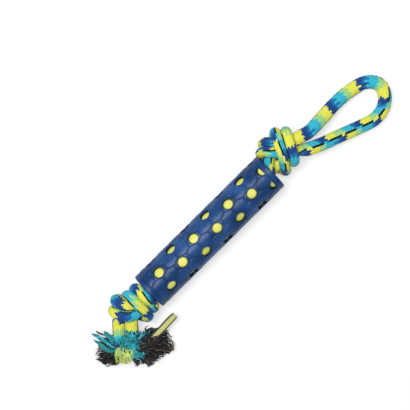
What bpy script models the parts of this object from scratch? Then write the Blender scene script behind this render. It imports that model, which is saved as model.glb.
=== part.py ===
"""Dog tug toy, about 0.41 m long: a rubber sleeve with hexagonal holes over a yellow core tube,
threaded on a doubled rope. The rope is tied in an overhand knot at each end of the sleeve. Past one
knot it is a hand loop, and past the other two short tails fray into yarns and core fibres.

The sleeve's axis runs along X, the hand loop lies towards +X, and the toy rests on z = 0."""

import math

import bmesh
import bpy
import numpy as np
from mathutils import Matrix, Vector

# Driving dimensions, in metres and degrees. The rope's size sets those of the tubes round it.
ROPE_DIAMETER = 0.014
KNOT_ROPE_DIAMETER = 0.0105
TAIL_ROPE_DIAMETER = 0.013
ROPE_PLAY = 0.0014
FIT_GAP = 0.0003

SLEEVE_WALL = 0.003
END_BAND = 0.0057
END_ROUND = 0.0009
CELL_ROWS = 10
CELL_PITCH = 0.01646
CELL_COLUMNS = 12
HOLE_LENGTH = 0.0116
HOLE_WIDTH = 0.0132
HOLE_CHAMFER = 0.0007
GROOVE_DEPTH = 0.0006
GROOVE_WIDTH = 0.0022
HOLE_TURN = -22.0

CORE_WALL = 0.0023
CORE_RECESS = 0.004
CORE_CHAMFER = 0.0006

KNOT_LEAN = -6.0
KNOT_ROLL = -105.0
KNOT_REACH = 1.68
KNOT_SHIFT = 0.0075
TAIL_KNOT_LEAN = 24.0
TAIL_KNOT_ROLL = 45.0
TAIL_KNOT_REACH = 1.92
TAIL_KNOT_SHIFT = -0.002
LEAD_IN_BORE = 0.010
TUFT_ROOT = 0.0035

# How finely the knots are settled and drawn, and where along a strand it swells to its end size
KNOT_POINTS = 84
KNOT_SECTIONS = 60
SETTLE_ROUNDS = 220
SETTLE_SHORTEN = 0.13
SWELL_START = 0.84
SWELL_SHARE = 0.13
BLEND_POINTS = 9
TUFT_SECTIONS = 9
HANDLE_SECTIONS = 76
TAIL_SECTIONS = 7
ROUND_SEGMENTS = 48

# Bends of the handle, with x from the sleeve's end: x and y of the upright sway axis, x and height
# of the level lift axis
SWAY_AXIS = (0.0635, -0.0055)
SWAY_RADIUS = 0.0175
LIFT_AXIS = (0.0860, 0.0125)
LIFT_RADIUS = 0.0115
CUTTER_REACH = 0.12
CUTTER_HALF_DEPTH = 0.08
BEND_OVERRUN = 0.005

# The handle's route, from the upper leg's knot end round to the lower leg's, with x from the
# sleeve's end
HANDLE_ROUTE = (
    (0.0485, 0.0030, 0.0255),
    (0.0570, 0.0010, 0.0230),
    (0.0685, 0.0010, 0.0190),
    (0.0810, 0.0015, 0.0150),
    (0.0960, 0.0025, 0.0115),
    (0.1100, 0.0020, 0.0090),
    (0.1240, 0.0000, 0.0074),
    (0.1355, -0.0035, 0.0071),
    (0.1430, -0.0100, 0.0071),
    (0.1455, -0.0190, 0.0071),
    (0.1405, -0.0295, 0.0071),
    (0.1290, -0.0370, 0.0071),
    (0.1155, -0.0380, 0.0072),
    (0.1020, -0.0340, 0.0080),
    (0.0875, -0.0285, 0.0100),
    (0.0730, -0.0230, 0.0125),
    (0.0590, -0.0180, 0.0150),
    (0.0490, -0.0135, 0.0170),
)

# Each tail's route, from its bend at the knot to its cut end
TAIL_A_ROUTE = (
    (-0.0525, -0.0085, 0.0160),
    (-0.0572, -0.0135, 0.0135),
    (-0.0602, -0.0167, 0.0118),
)
TAIL_B_ROUTE = (
    (-0.0430, -0.0190, 0.0160),
    (-0.0470, -0.0240, 0.0135),
    (-0.0495, -0.0290, 0.0110),
)

# How the frayed fibres and yarns spread past the cut ends: centre, half width and half height
CORE_A_SPREAD = (
    ((-0.0673, -0.0190, 0.0066), 0.0100, 0.0052),
    ((-0.0748, -0.0160, 0.0072), 0.0145, 0.0064),
    ((-0.0830, -0.0125, 0.0072), 0.0125, 0.0062),
    ((-0.0878, -0.0110, 0.0068), 0.0060, 0.0040),
)
CORE_B_SPREAD = (
    ((-0.0495, -0.0365, 0.0066), 0.0110, 0.0052),
    ((-0.0425, -0.0440, 0.0072), 0.0220, 0.0064),
    ((-0.0385, -0.0525, 0.0072), 0.0205, 0.0062),
    ((-0.0370, -0.0595, 0.0068), 0.0110, 0.0040),
)
TEAL_SPREAD = (
    ((-0.0680, -0.0130, 0.0185), 0.0046, 0.0028),
    ((-0.0685, -0.0030, 0.0180), 0.0062, 0.0030),
    ((-0.0730, 0.0100, 0.0150), 0.0058, 0.0024),
)
LIME_SPREAD = (
    ((-0.0640, -0.0250, 0.0183), 0.0050, 0.0026),
    ((-0.0670, -0.0310, 0.0183), 0.0078, 0.0028),
    ((-0.0690, -0.0380, 0.0170), 0.0048, 0.0020),
)
BLUE_SPREAD = (
    ((-0.0520, -0.0352, 0.0183), 0.0068, 0.0026),
    ((-0.0522, -0.0400, 0.0183), 0.0084, 0.0028),
    ((-0.0524, -0.0452, 0.0170), 0.0056, 0.0020),
)
LONG_YARN = (
    ((-0.0400, -0.0365, 0.0186), 0.0020, 0.0020),
    ((-0.0230, -0.0370, 0.0190), 0.0026, 0.0024),
    ((-0.0080, -0.0365, 0.0172), 0.0028, 0.0025),
    ((0.0020, -0.0365, 0.0160), 0.0025, 0.0022),
)

# Each tuft's name, middle at the cut end (across and up in shares of the tail's radius), half width
# and half height there, its spread, its lobes and its finish
TAIL_A_TUFTS = (
    ("core_fibres", 0.0, -0.40, (0.0050, 0.0030), CORE_A_SPREAD, 5, "fibre"),
    ("teal_yarns", -0.50, 0.55, (0.0024, 0.0018), TEAL_SPREAD, 3, "teal"),
    ("lime_yarns", 0.42, 0.55, (0.0024, 0.0018), LIME_SPREAD, 3, "lime"),
)
TAIL_B_TUFTS = (
    ("core_fibres", 0.0, -0.40, (0.0050, 0.0030), CORE_B_SPREAD, 5, "fibre"),
    ("blue_yarns", -0.20, 0.55, (0.0028, 0.0018), BLUE_SPREAD, 3, "blue"),
    ("long_yarn", 0.66, 0.50, (0.0012, 0.0012), LONG_YARN, 2, "lemon"),
)

ROPE_RADIUS = ROPE_DIAMETER / 2
CORE_BORE_RADIUS = ROPE_DIAMETER + ROPE_PLAY
CORE_RADIUS = CORE_BORE_RADIUS + CORE_WALL
BORE_RADIUS = CORE_RADIUS + FIT_GAP
SLEEVE_RADIUS = BORE_RADIUS + SLEEVE_WALL
SLEEVE_LENGTH = 2 * END_BAND + CELL_ROWS * CELL_PITCH
KNOT_RADIUS = KNOT_ROPE_DIAMETER / 2
TAIL_RADIUS = TAIL_ROPE_DIAMETER / 2
LEG_OFFSET = ROPE_RADIUS + FIT_GAP / 2
KNOT_PITCH = KNOT_ROPE_DIAMETER + 2 * FIT_GAP
KNOT_HALF_LENGTH = 1.92 * KNOT_PITCH
KNOT_RISE = 2.08 * KNOT_PITCH - SLEEVE_RADIUS
AXIS_HEIGHT = SLEEVE_RADIUS
HANDLE_HALF_WIDTH = ROPE_DIAMETER + max(abs(y - SWAY_AXIS[1]) for _, y, _ in HANDLE_ROUTE)

NAVY = (0.014, 0.062, 0.240)
TURQUOISE = (0.045, 0.500, 0.620)
TEAL = (0.020, 0.330, 0.330)
LIME = (0.560, 0.720, 0.150)
LEMON = (0.800, 0.780, 0.110)
CHARCOAL = (0.022, 0.020, 0.020)


def clear_scene():
    for item in list(bpy.data.objects):
        bpy.data.objects.remove(item)


def material(name, colour, roughness):
    finish = bpy.data.materials.new(name)
    finish.use_nodes = True
    shader = finish.node_tree.nodes["Principled BSDF"]
    shader.inputs["Base Color"].default_value = (*colour, 1.0)
    shader.inputs["Roughness"].default_value = roughness
    shader.inputs["Metallic"].default_value = 0.0
    return finish


def add_object(name, data, finish, parent):
    """One named piece, shaded smooth where its faces meet at a shallow angle."""
    piece = bpy.data.objects.new(name, data)
    bpy.context.scene.collection.objects.link(piece)
    piece.data.materials.append(finish)
    piece.parent = parent
    if piece.type == "MESH":
        piece.data.shade_smooth()
        piece.data.set_sharp_from_angle(angle=math.radians(35))
    return piece


def add_empty(name, location, parent=None):
    empty = bpy.data.objects.new(name, None)
    empty.empty_display_size = 0.02
    empty.location = location
    empty.parent = parent
    bpy.context.scene.collection.objects.link(empty)
    return empty


def finish_mesh(name, shape):
    bmesh.ops.recalc_face_normals(shape, faces=shape.faces)
    mesh = bpy.data.meshes.new(name)
    shape.to_mesh(mesh)
    shape.free()
    return mesh


# Smooth routes and rope tubes


def even_run(points, count):
    """The polyline's points, spread evenly along it."""
    points = np.asarray(points, float)
    along = np.concatenate([[0], np.cumsum(np.linalg.norm(np.diff(points[:, :3], axis=0), axis=1))])
    wanted = np.linspace(0, along[-1], count)
    return np.stack([np.interp(wanted, along, column) for column in points.T], axis=1)


def smooth_route(points, count):
    """An even run of points on the Catmull-Rom curve through the given ones."""
    points = np.asarray(points, float)
    points = np.vstack([2 * points[0] - points[1], points, 2 * points[-1] - points[-2]])
    pieces = []
    t = np.linspace(0, 1, 24, endpoint=False)[:, None]
    for before, start, end, after in zip(points, points[1:], points[2:], points[3:]):
        bend = 2 * before - 5 * start + 4 * end - after
        cube = 3 * start - 3 * end + after - before
        pieces.append(0.5 * (2 * start + (end - before) * t + bend * t**2 + cube * t**3))
    return even_run(np.vstack(pieces + [points[-2:-1]]), count)


def rope_tube(name, points, radii, finish, parent):
    """A round rope as a bevelled curve through the points, with a radius at each."""
    curve = bpy.data.curves.new(name, "CURVE")
    curve.dimensions = "3D"
    curve.bevel_depth = ROPE_RADIUS
    curve.bevel_resolution = 3
    curve.use_fill_caps = True
    spline = curve.splines.new("POLY")
    spline.points.add(len(points) - 1)
    for slot, point, radius in zip(spline.points, points, radii):
        slot.co = (*point, 1.0)
        slot.radius = radius / ROPE_RADIUS
    spline.use_smooth = True
    return add_object(name, curve, finish, parent)


def as_mesh(piece):
    """The same rope as a mesh object, so that a Boolean can cut it."""
    graph = bpy.context.evaluated_depsgraph_get()
    mesh = bpy.data.meshes.new_from_object(piece.evaluated_get(graph))
    name, finish, parent = piece.name, piece.data.materials[0], piece.parent
    bpy.data.objects.remove(piece)
    mesh.materials.clear()
    shape = bmesh.new()
    shape.from_mesh(mesh)
    bmesh.ops.remove_doubles(shape, verts=shape.verts, dist=1e-6)
    shape.to_mesh(mesh)
    shape.free()
    return add_object(name, mesh, finish, parent)


def cut(piece, cutter, operation):
    modifier = piece.modifiers.new(operation.title(), "BOOLEAN")
    modifier.operation = operation
    modifier.object = cutter


# Sleeve and core


def ring_point(x, turn, radius):
    """A point on the sleeve, turned from the top towards -Y."""
    return (x, -radius * math.sin(turn), AXIS_HEIGHT + radius * math.cos(turn))


def cell_corners(column, station):
    """A cell's corners as (step round the sleeve, half-row station), round its outline.
    The cells at both ends are halves, or have an extra corner, so that the ends are straight."""
    middle = 3 * column
    last = 2 * CELL_ROWS
    upper = [(middle + 1, station + 1), (middle - 1, station + 1)]
    lower = [(middle - 1, station - 1), (middle + 1, station - 1)]
    if station == 0:
        lower = [(middle - 1, 0), (middle, 0), (middle + 1, 0)]
    elif station == last:
        upper = [(middle + 1, last), (middle, last), (middle - 1, last)]
    elif station == 1:
        lower.insert(1, (middle, 0))
    elif station == last - 1:
        upper.insert(1, (middle, last))
    return [(middle + 2, station)] + upper + [(middle - 2, station)] + lower


def is_hole(column, station):
    """Every third cell along a column is open, and neighbouring columns take turns."""
    if column % 2 == 0:
        return station % 6 == 2
    return station % 6 == 5


class Sleeve:
    """Builds the perforated sleeve cell by cell: grooves, raised panels, holes and end bands."""

    def __init__(self):
        self.shape = bmesh.new()
        self.corners = {}
        self.steps = 3 * CELL_COLUMNS
        # Corners stand on a polygon, so the bore's are set out for its flats to clear the bore
        self.bore = BORE_RADIUS / math.cos(2 * math.pi / self.steps)

    def place(self, step, station, radius):
        turn = math.radians(HOLE_TURN) + step * 2 * math.pi / self.steps
        x = END_BAND + station * CELL_PITCH / 2
        return self.shape.verts.new(ring_point(x, turn, radius))

    def corner(self, step, station, radius):
        """A shared corner, made once."""
        key = (step % self.steps, station, radius)
        if key not in self.corners:
            self.corners[key] = self.place(step, station, radius)
        return self.corners[key]

    def inset(self, cell, share_round, share_along, radius):
        """The cell's outline drawn in towards its middle."""
        steps = [step for step, _ in cell]
        middle = (min(steps) + max(steps)) / 2
        stations = [station for _, station in cell]
        height = (min(stations) + max(stations)) / 2
        return [
            self.place(
                middle + (step - middle) * share_round,
                height + (station - height) * share_along,
                radius,
            )
            for step, station in cell
        ]

    def band(self, first, second):
        """Quads between two outlines of as many corners."""
        for i in range(len(first)):
            j = (i + 1) % len(first)
            self.shape.faces.new((first[i], first[j], second[j], second[i]))

    def fan(self, cell, outline, radius):
        steps = [step for step, _ in cell]
        stations = [station for _, station in cell]
        middle = self.place(
            (min(steps) + max(steps)) / 2, (min(stations) + max(stations)) / 2, radius
        )
        for i in range(len(outline)):
            self.shape.faces.new((outline[i], outline[(i + 1) % len(outline)], middle))

    def add_cell(self, column, station):
        cell = cell_corners(column, station)
        cell_width = 2 * SLEEVE_RADIUS * math.pi / CELL_COLUMNS * 4 / 3
        groove = [self.corner(*key, SLEEVE_RADIUS - GROOVE_DEPTH) for key in cell]
        bore = [self.corner(*key, self.bore) for key in cell]
        share = 1 - GROOVE_WIDTH / CELL_PITCH
        if not is_hole(column, station):
            panel = self.inset(cell, share, share, SLEEVE_RADIUS)
            self.band(groove, panel)
            self.fan(cell, panel, SLEEVE_RADIUS)
            self.fan(cell, bore, self.bore)
            return
        hole = (HOLE_WIDTH / cell_width, HOLE_LENGTH / CELL_PITCH)
        rim = (
            (HOLE_WIDTH + 2 * HOLE_CHAMFER) / cell_width,
            (HOLE_LENGTH + 2 * HOLE_CHAMFER) / CELL_PITCH,
        )
        outlines = [
            groove,
            self.inset(cell, *rim, SLEEVE_RADIUS),
            self.inset(cell, *hole, SLEEVE_RADIUS - HOLE_CHAMFER),
            self.inset(cell, *hole, self.bore),
            bore,
        ]
        for outer, inner in zip(outlines, outlines[1:]):
            self.band(outer, inner)

    def add_end(self, station, edge_x, outward):
        """The plain band past the last cells, rounded to its end face and into the bore."""
        turns = range(self.steps)
        profile = (
            (END_BAND - GROOVE_WIDTH / 2, SLEEVE_RADIUS),
            (END_ROUND, SLEEVE_RADIUS),
            (END_ROUND * 0.3, SLEEVE_RADIUS - END_ROUND * 0.3),
            (0.0, SLEEVE_RADIUS - END_ROUND),
            (0.0, self.bore + END_ROUND * 0.5),
            (END_ROUND * 0.5, self.bore),
        )
        rings = [[self.corner(a, station, SLEEVE_RADIUS - GROOVE_DEPTH) for a in turns]]
        for inward, radius in profile:
            ring = []
            for step in turns:
                turn = math.radians(HOLE_TURN) + step * 2 * math.pi / self.steps
                point = ring_point(edge_x - outward * inward, turn, radius)
                ring.append(self.shape.verts.new(point))
            rings.append(ring)
        rings.append([self.corner(a, station, self.bore) for a in turns])
        for first, second in zip(rings, rings[1:]):
            self.band(first, second)

    def mesh(self, name):
        for column in range(CELL_COLUMNS):
            start = column % 2
            for station in range(start, 2 * CELL_ROWS + 1, 2):
                self.add_cell(column, station)
        self.add_end(0, 0.0, -1)
        self.add_end(2 * CELL_ROWS, SLEEVE_LENGTH, 1)
        return finish_mesh(name, self.shape)


def core_mesh(name):
    """The inner tube: a chamfered wall section turned about the sleeve's axis."""
    start = CORE_RECESS
    end = SLEEVE_LENGTH - CORE_RECESS
    section = (
        (start + CORE_CHAMFER, CORE_RADIUS),
        (end - CORE_CHAMFER, CORE_RADIUS),
        (end, CORE_RADIUS - CORE_CHAMFER),
        (end, CORE_BORE_RADIUS + CORE_CHAMFER),
        (end - CORE_CHAMFER, CORE_BORE_RADIUS),
        (start + CORE_CHAMFER, CORE_BORE_RADIUS),
        (start, CORE_BORE_RADIUS + CORE_CHAMFER),
        (start, CORE_RADIUS - CORE_CHAMFER),
    )
    shape = bmesh.new()
    corners = [shape.verts.new(ring_point(x, 0.0, radius)) for x, radius in section]
    edges = [
        shape.edges.new((corners[i], corners[(i + 1) % len(corners)]))
        for i in range(len(corners))
    ]
    bmesh.ops.spin(
        shape,
        geom=corners + edges,
        cent=(0, 0, AXIS_HEIGHT),
        axis=(1, 0, 0),
        angle=2 * math.pi,
        steps=ROUND_SEGMENTS,
        use_merge=True,
    )
    return finish_mesh(name, shape)


# Knots


def knot_course(count):
    """The doubled rope's centre line and side direction through one overhand knot, drawn up as it
    is when pulled tight: in through the middle, out and back in a coil round both, out again.
    It runs from the sleeve's side, -X, to the free side, +X, centred on the origin."""
    inner = 0.5 * KNOT_PITCH
    outer = 1.5 * KNOT_PITCH
    half = 0.8 * KNOT_PITCH
    whole_turn = 540.0
    coil_start = 65.0
    run_in = [
        (-KNOT_HALF_LENGTH - LEAD_IN_BORE, 0.1 * inner, 0.0),
        (-2.0 * KNOT_PITCH, 0.35 * inner, 0.0),
        (-half, inner, 0.0),
        (0.0, inner, 0.0),
        (0.8 * half, inner, 5.0),
        (half + 0.6 * KNOT_PITCH, inner + 0.43 * KNOT_PITCH, 25.0),
        (half + 0.43 * KNOT_PITCH, outer - 0.09 * KNOT_PITCH, coil_start),
    ]
    coil = []
    for k in range(1, 8):
        share = k / 8
        turn = coil_start + (whole_turn - 2 * coil_start) * share
        coil.append((half * (1 - 2 * share), outer, turn))
    run_out = [(-x, radius, whole_turn - turn) for x, radius, turn in reversed(run_in)]
    course = smooth_route(run_in + coil + run_out, 600)
    turn = np.radians(course[:, 2])
    centre = np.stack([course[:, 0], course[:, 1] * np.cos(turn), course[:, 1] * np.sin(turn)], 1)
    centre_and_turn = even_run(np.column_stack([centre, turn]), count)
    centre, turn = centre_and_turn[:, :3], centre_and_turn[:, 3]
    outward = np.stack([np.zeros(count), np.cos(turn), np.sin(turn)], 1)
    ahead = np.gradient(centre, axis=0)
    side = np.cross(ahead, outward)
    side /= np.linalg.norm(side, axis=1)[:, None]
    return centre, side


def settle(strands, radii, keep_clear):
    """Draws the strands tight: each keeps its length, bends gently and pushes off the others.
    The three points at each end of a strand stay where they are."""
    count = len(strands[0])
    points = np.concatenate(strands)
    radii = np.tile(radii, len(strands))
    strand = np.repeat(np.arange(len(strands)), count)
    order = np.tile(np.arange(count), len(strands))
    held_count = 3
    rounds_each = 3
    clearance = 1.6 * FIT_GAP
    stretch_ease = 0.25
    bend_ease = 0.15
    wave_ease = 0.3
    push_ease = 0.5
    longest_push = 0.6
    near_along = 1.5
    fixed = (order < held_count) | (order >= count - held_count)
    held = points[fixed]
    reach = radii[:, None] + radii[None, :] + clearance
    same = strand[:, None] == strand[None, :]
    steps_apart = np.abs(order[:, None] - order[None, :])
    first_step = np.linalg.norm(np.diff(strands[0], axis=0), axis=1).mean()
    for turn in range(SETTLE_ROUNDS):
        step = first_step * (1 - SETTLE_SHORTEN * min(1.0, 2 * turn / SETTLE_ROUNDS))
        for start in range(0, len(points), count):
            line = points[start : start + count]
            for _ in range(rounds_each):
                for parity in (0, 1):
                    i = np.arange(parity, count - 1, 2)
                    gap = line[i + 1] - line[i]
                    length = np.linalg.norm(gap, axis=1)[:, None]
                    shift = gap * (length - step) / length * stretch_ease
                    line[i] += shift
                    line[i + 1] -= shift
                bend = np.zeros_like(line)
                bend[1:-1] = 0.5 * (line[:-2] + line[2:]) - line[1:-1]
                change = np.zeros_like(line)
                change[1:-1] = 0.5 * (bend[:-2] + bend[2:]) - bend[1:-1]
                line += bend_ease * bend - wave_ease * change
                points[fixed] = held
        neighbours = same & (steps_apart * step < near_along * reach)
        for _ in range(rounds_each):
            apart = points[:, None, :] - points[None, :, :]
            distance = np.linalg.norm(apart, axis=2) + 1e-9
            overlap = np.where((distance < reach) & ~neighbours, reach - distance, 0.0)
            push = (apart / distance[:, :, None] * overlap[:, :, None] * push_ease).sum(axis=1)
            size = np.linalg.norm(push, axis=1) + 1e-9
            most = longest_push * overlap.max(axis=1)
            points += push / size[:, None] * np.minimum(size, most)[:, None]
            keep_clear(points, radii)
            points[fixed] = held
    return [points[i * count : (i + 1) * count] for i in range(len(strands))]


def smooth_step(share):
    """Eases from 0 to 1 over shares of 0 to 1, and stays there outside them."""
    share = np.clip(share, 0, 1)
    return share * share * (3 - 2 * share)


def strand_radii(exit_radius):
    """A strand's radius along it: squeezed in the knot, full in the sleeve and where it leaves."""
    share = np.linspace(-1, 1, KNOT_POINTS)
    ease = smooth_step((np.abs(share) - SWELL_START) / SWELL_SHARE)
    end_radius = np.where(share < 0, ROPE_RADIUS, exit_radius)
    return KNOT_RADIUS + (end_radius - KNOT_RADIUS) * ease


def tie_knot(centre, lean, roll, outward, exit_radius, exits):
    """Both strands of one knot, in the toy's frame. Outward is 1 for the loop's knot and -1 for the
    tails'. Each exit is a point and the direction in which that strand leaves."""
    course, side = knot_course(KNOT_POINTS)
    radii = strand_radii(exit_radius)
    offset = radii + FIT_GAP
    tilt = Matrix.Rotation(math.radians(lean), 3, "Z") @ Matrix.Rotation(math.radians(roll), 3, "X")
    tilt = np.array(tilt)
    turn = np.diag([outward, outward, 1.0])
    mouth = SLEEVE_LENGTH if outward > 0 else 0.0
    strands = []
    for sign, (exit_point, exit_direction) in zip((outward, -outward), exits):
        local = course + sign * side * offset[:, None]
        placed = local @ tilt.T @ turn.T + centre
        entry = np.array([mouth - outward * LEAD_IN_BORE, 0, AXIS_HEIGHT + sign * LEG_OFFSET])
        pull_in = smooth_step(1 - np.arange(KNOT_POINTS) / BLEND_POINTS)
        pull_out = pull_in[::-1]
        placed += (entry - placed[0]) * pull_in[:, None]
        placed += (np.array(exit_point) - placed[-1]) * pull_out[:, None]
        step = np.linalg.norm(np.diff(placed, axis=0), axis=1).mean()
        direction = np.array(exit_direction) / np.linalg.norm(exit_direction)
        for k in (1, 2):
            placed[k] = placed[0] + np.array([outward * step * k, 0, 0])
            placed[-1 - k] = placed[-1] - direction * step * k
        strands.append(placed)

    def keep_clear(points, sizes):
        """Off the ground, and outside the sleeve unless the point lies in its bore."""
        points[:, 2] = np.maximum(points[:, 2], sizes)
        from_axis = np.hypot(points[:, 1], points[:, 2] - AXIS_HEIGHT)
        beyond = (points[:, 0] - mouth) * outward
        outside = from_axis > BORE_RADIUS - sizes - FIT_GAP
        pushed = np.maximum(beyond, sizes + FIT_GAP)
        points[:, 0] = np.where(outside, mouth + outward * pushed, points[:, 0])

    return settle(strands, radii, keep_clear), radii


def add_knot(name, job, finish, parent):
    """One knot as its two strands."""
    strands, radii = tie_knot(*job)
    pieces = []
    for letter, strand in zip("ab", strands):
        line = even_run(np.column_stack([strand, radii]), KNOT_SECTIONS)
        tube = rope_tube(f"{name}_strand_{letter}", line[:, :3], line[:, 3], finish, parent)
        pieces.append(tube)
    return pieces


def add_legs(finish, parent):
    """The two stretches of rope that lie one above the other inside the core."""
    start = LEAD_IN_BORE + FIT_GAP
    end = SLEEVE_LENGTH - LEAD_IN_BORE - FIT_GAP
    for name, sign in (("rope_leg_upper", 1), ("rope_leg_lower", -1)):
        height = AXIS_HEIGHT + sign * LEG_OFFSET
        points = [(start + (end - start) * k / 4, 0.0, height) for k in range(5)]
        rope_tube(name, points, [ROPE_RADIUS] * len(points), finish, parent)


# Handle


def bend_cutter(name, centre, radius, upright, parent):
    """A hidden solid that is round towards the knot and straight past the bend's axis. What lies
    inside it turns about that axis, clear of what lies outside it."""
    shape = bmesh.new()
    depth = CUTTER_HALF_DEPTH
    step = 2 * math.pi / ROUND_SEGMENTS
    outline = []
    for k in range(ROUND_SEGMENTS // 2 + 1):
        angle = math.pi / 2 + k * step
        outline.append((radius * math.cos(angle), radius * math.sin(angle)))
    wide = HANDLE_HALF_WIDTH
    far = CUTTER_REACH
    outline += [(0.0, -wide), (far, -wide), (far, wide), (0.0, wide)]
    corners = []
    for u, v in outline:
        if upright:
            corners.append(shape.verts.new((centre[0] + u, centre[1] + v, centre[2] - depth)))
        else:
            corners.append(shape.verts.new((centre[0] + u, centre[1] - depth, centre[2] + v)))
    face = shape.faces.new(corners)
    moved = bmesh.ops.extrude_face_region(shape, geom=[face])
    rise = Vector((0, 0, 2 * depth)) if upright else Vector((0, 2 * depth, 0))
    top = [item for item in moved["geom"] if isinstance(item, bmesh.types.BMVert)]
    bmesh.ops.translate(shape, verts=top, vec=rise)
    cutter = bpy.data.objects.new(name, finish_mesh(name, shape))
    bpy.context.scene.collection.objects.link(cutter)
    cutter.parent = parent
    cutter.hide_render = True
    cutter.display_type = "WIRE"
    return cutter


def handle_parts():
    """The stretches of the handle's route that the two necks and the loop take."""
    route = smooth_route(HANDLE_ROUTE, HANDLE_SECTIONS) + (SLEEVE_LENGTH, 0.0, 0.0)
    lift_x = SLEEVE_LENGTH + LIFT_AXIS[0]
    near = route[:, 0] < lift_x + BEND_OVERRUN
    middle = len(route) // 2
    upper = route[:middle][near[:middle]]
    lower = route[middle:][near[middle:]]
    loop = route[route[:, 0] > lift_x - LIFT_RADIUS - BEND_OVERRUN]
    return upper, lower, loop


def add_handle(knot_pieces, finish, toy):
    sway_centre = (SLEEVE_LENGTH + SWAY_AXIS[0], SWAY_AXIS[1], AXIS_HEIGHT)
    lift_centre = (SLEEVE_LENGTH + LIFT_AXIS[0], 0.0, LIFT_AXIS[1])
    add_empty("sway_axis", sway_centre, toy)
    add_empty("lift_axis", lift_centre, toy)
    cutters = {}
    for kind, centre, radius in (
        ("sway", sway_centre, SWAY_RADIUS),
        ("lift", lift_centre, LIFT_RADIUS),
    ):
        upright = kind == "sway"
        cutters[kind, "inside"] = bend_cutter(f"{kind}_keep", centre, radius, upright, toy)
        cutters[kind, "outside"] = bend_cutter(
            f"{kind}_clear", centre, radius + FIT_GAP, upright, toy
        )
    for piece in knot_pieces:
        cut(as_mesh(piece), cutters["sway", "outside"], "DIFFERENCE")
    upper, lower, far = handle_parts()
    for name, line in (("loop_neck_upper", upper), ("loop_neck_lower", lower)):
        neck = as_mesh(rope_tube(name, line, [ROPE_RADIUS] * len(line), finish, toy))
        cut(neck, cutters["sway", "inside"], "INTERSECT")
        cut(neck, cutters["lift", "outside"], "DIFFERENCE")
    loop = as_mesh(rope_tube("handle_loop", far, [ROPE_RADIUS] * len(far), finish, toy))
    cut(loop, cutters["lift", "inside"], "INTERSECT")


# Tails


def round_nose(points, radii, radius):
    """Adds a half-ball start to a route, so that the piece can turn in its seat."""
    points = np.asarray(points, float)
    back = points[0] - points[1]
    back /= np.linalg.norm(back)
    nose = []
    sizes = []
    for angle in (80, 60, 40, 20):
        nose.append(points[0] + back * radius * math.sin(math.radians(angle)))
        sizes.append(radius * math.cos(math.radians(angle)))
    return np.vstack([nose, points]), np.concatenate([sizes, radii])


def add_tail(name, route, finish, parent):
    points = smooth_route(route, TAIL_SECTIONS)
    points, radii = round_nose(points, np.full(TAIL_SECTIONS, TAIL_RADIUS), TAIL_RADIUS)
    return rope_tube(name, points, radii, finish, parent)


def add_tuft(name, stations, root_ahead, lobes, finish, parent):
    """A brush of fibres: lobed oval sections lofted along a route, closed at both ends.
    Each station is a point, a half width and a half height. The first section is square to
    root_ahead, the direction in which the fibres leave the rope."""
    data = smooth_route([(*point, wide, high) for point, wide, high in stations], TUFT_SECTIONS)
    centres = data[:, :3]
    ahead = np.gradient(centres, axis=0)
    ahead[0] = root_ahead
    shape = bmesh.new()
    rings = []
    sides = 6 * lobes
    for centre, direction, (wide, high) in zip(centres, ahead, data[:, 3:]):
        across = np.cross((0, 0, 1), direction)
        across /= np.linalg.norm(across)
        up = np.cross(direction, across)
        up /= np.linalg.norm(up)
        ring = []
        for k in range(sides):
            angle = 2 * math.pi * k / sides
            size = 0.93 + 0.07 * math.cos(lobes * angle)
            point = centre + across * wide * size * math.cos(angle)
            point = point + up * high * size * math.sin(angle)
            ring.append(shape.verts.new(point))
        rings.append(ring)
    for first, second in zip(rings, rings[1:]):
        for i in range(sides):
            j = (i + 1) % sides
            shape.faces.new((first[i], first[j], second[j], second[i]))
    shape.faces.new(rings[0])
    shape.faces.new(rings[-1])
    return add_object(name, finish_mesh(name, shape), finish, parent)


def cut_end_frame(route):
    """The directions ahead, level and up at a tail's cut end."""
    ahead = np.subtract(route[-1], route[-2])
    ahead /= np.linalg.norm(ahead)
    level = np.cross((0, 0, 1), ahead)
    level /= np.linalg.norm(level)
    return ahead, level, np.cross(ahead, level)


def tuft_from_end(name, route, across, up, start, spread, lobes, finish, parent):
    """A tuft that leaves a tail's cut end straight, then spreads through the given stations.
    Across and up are its middle in shares of the tail's radius, start its half width and half
    height there."""
    ahead, level, rise = cut_end_frame(route)
    middle = np.array(route[-1]) + TAIL_RADIUS * (across * level + up * rise)
    root = [(middle + ahead * reach, *start) for reach in (FIT_GAP, TUFT_ROOT)]
    add_tuft(name, root + list(spread), ahead, lobes, finish, parent)


def add_tails(finishes, toy):
    add_empty("tail_a_hinge", TAIL_A_ROUTE[0], toy)
    add_empty("tail_b_hinge", TAIL_B_ROUTE[0], toy)
    add_tail("tail_a_sheath", TAIL_A_ROUTE, finishes["rope"], toy)
    add_tail("tail_b_sheath", TAIL_B_ROUTE, finishes["rope"], toy)
    for letter, route, tufts in (("a", TAIL_A_ROUTE, TAIL_A_TUFTS), ("b", TAIL_B_ROUTE, TAIL_B_TUFTS)):
        for name, across, up, start, spread, lobes, finish in tufts:
            full_name = f"tail_{letter}_{name}"
            tuft_from_end(full_name, route, across, up, start, spread, lobes, finishes[finish], toy)


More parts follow.
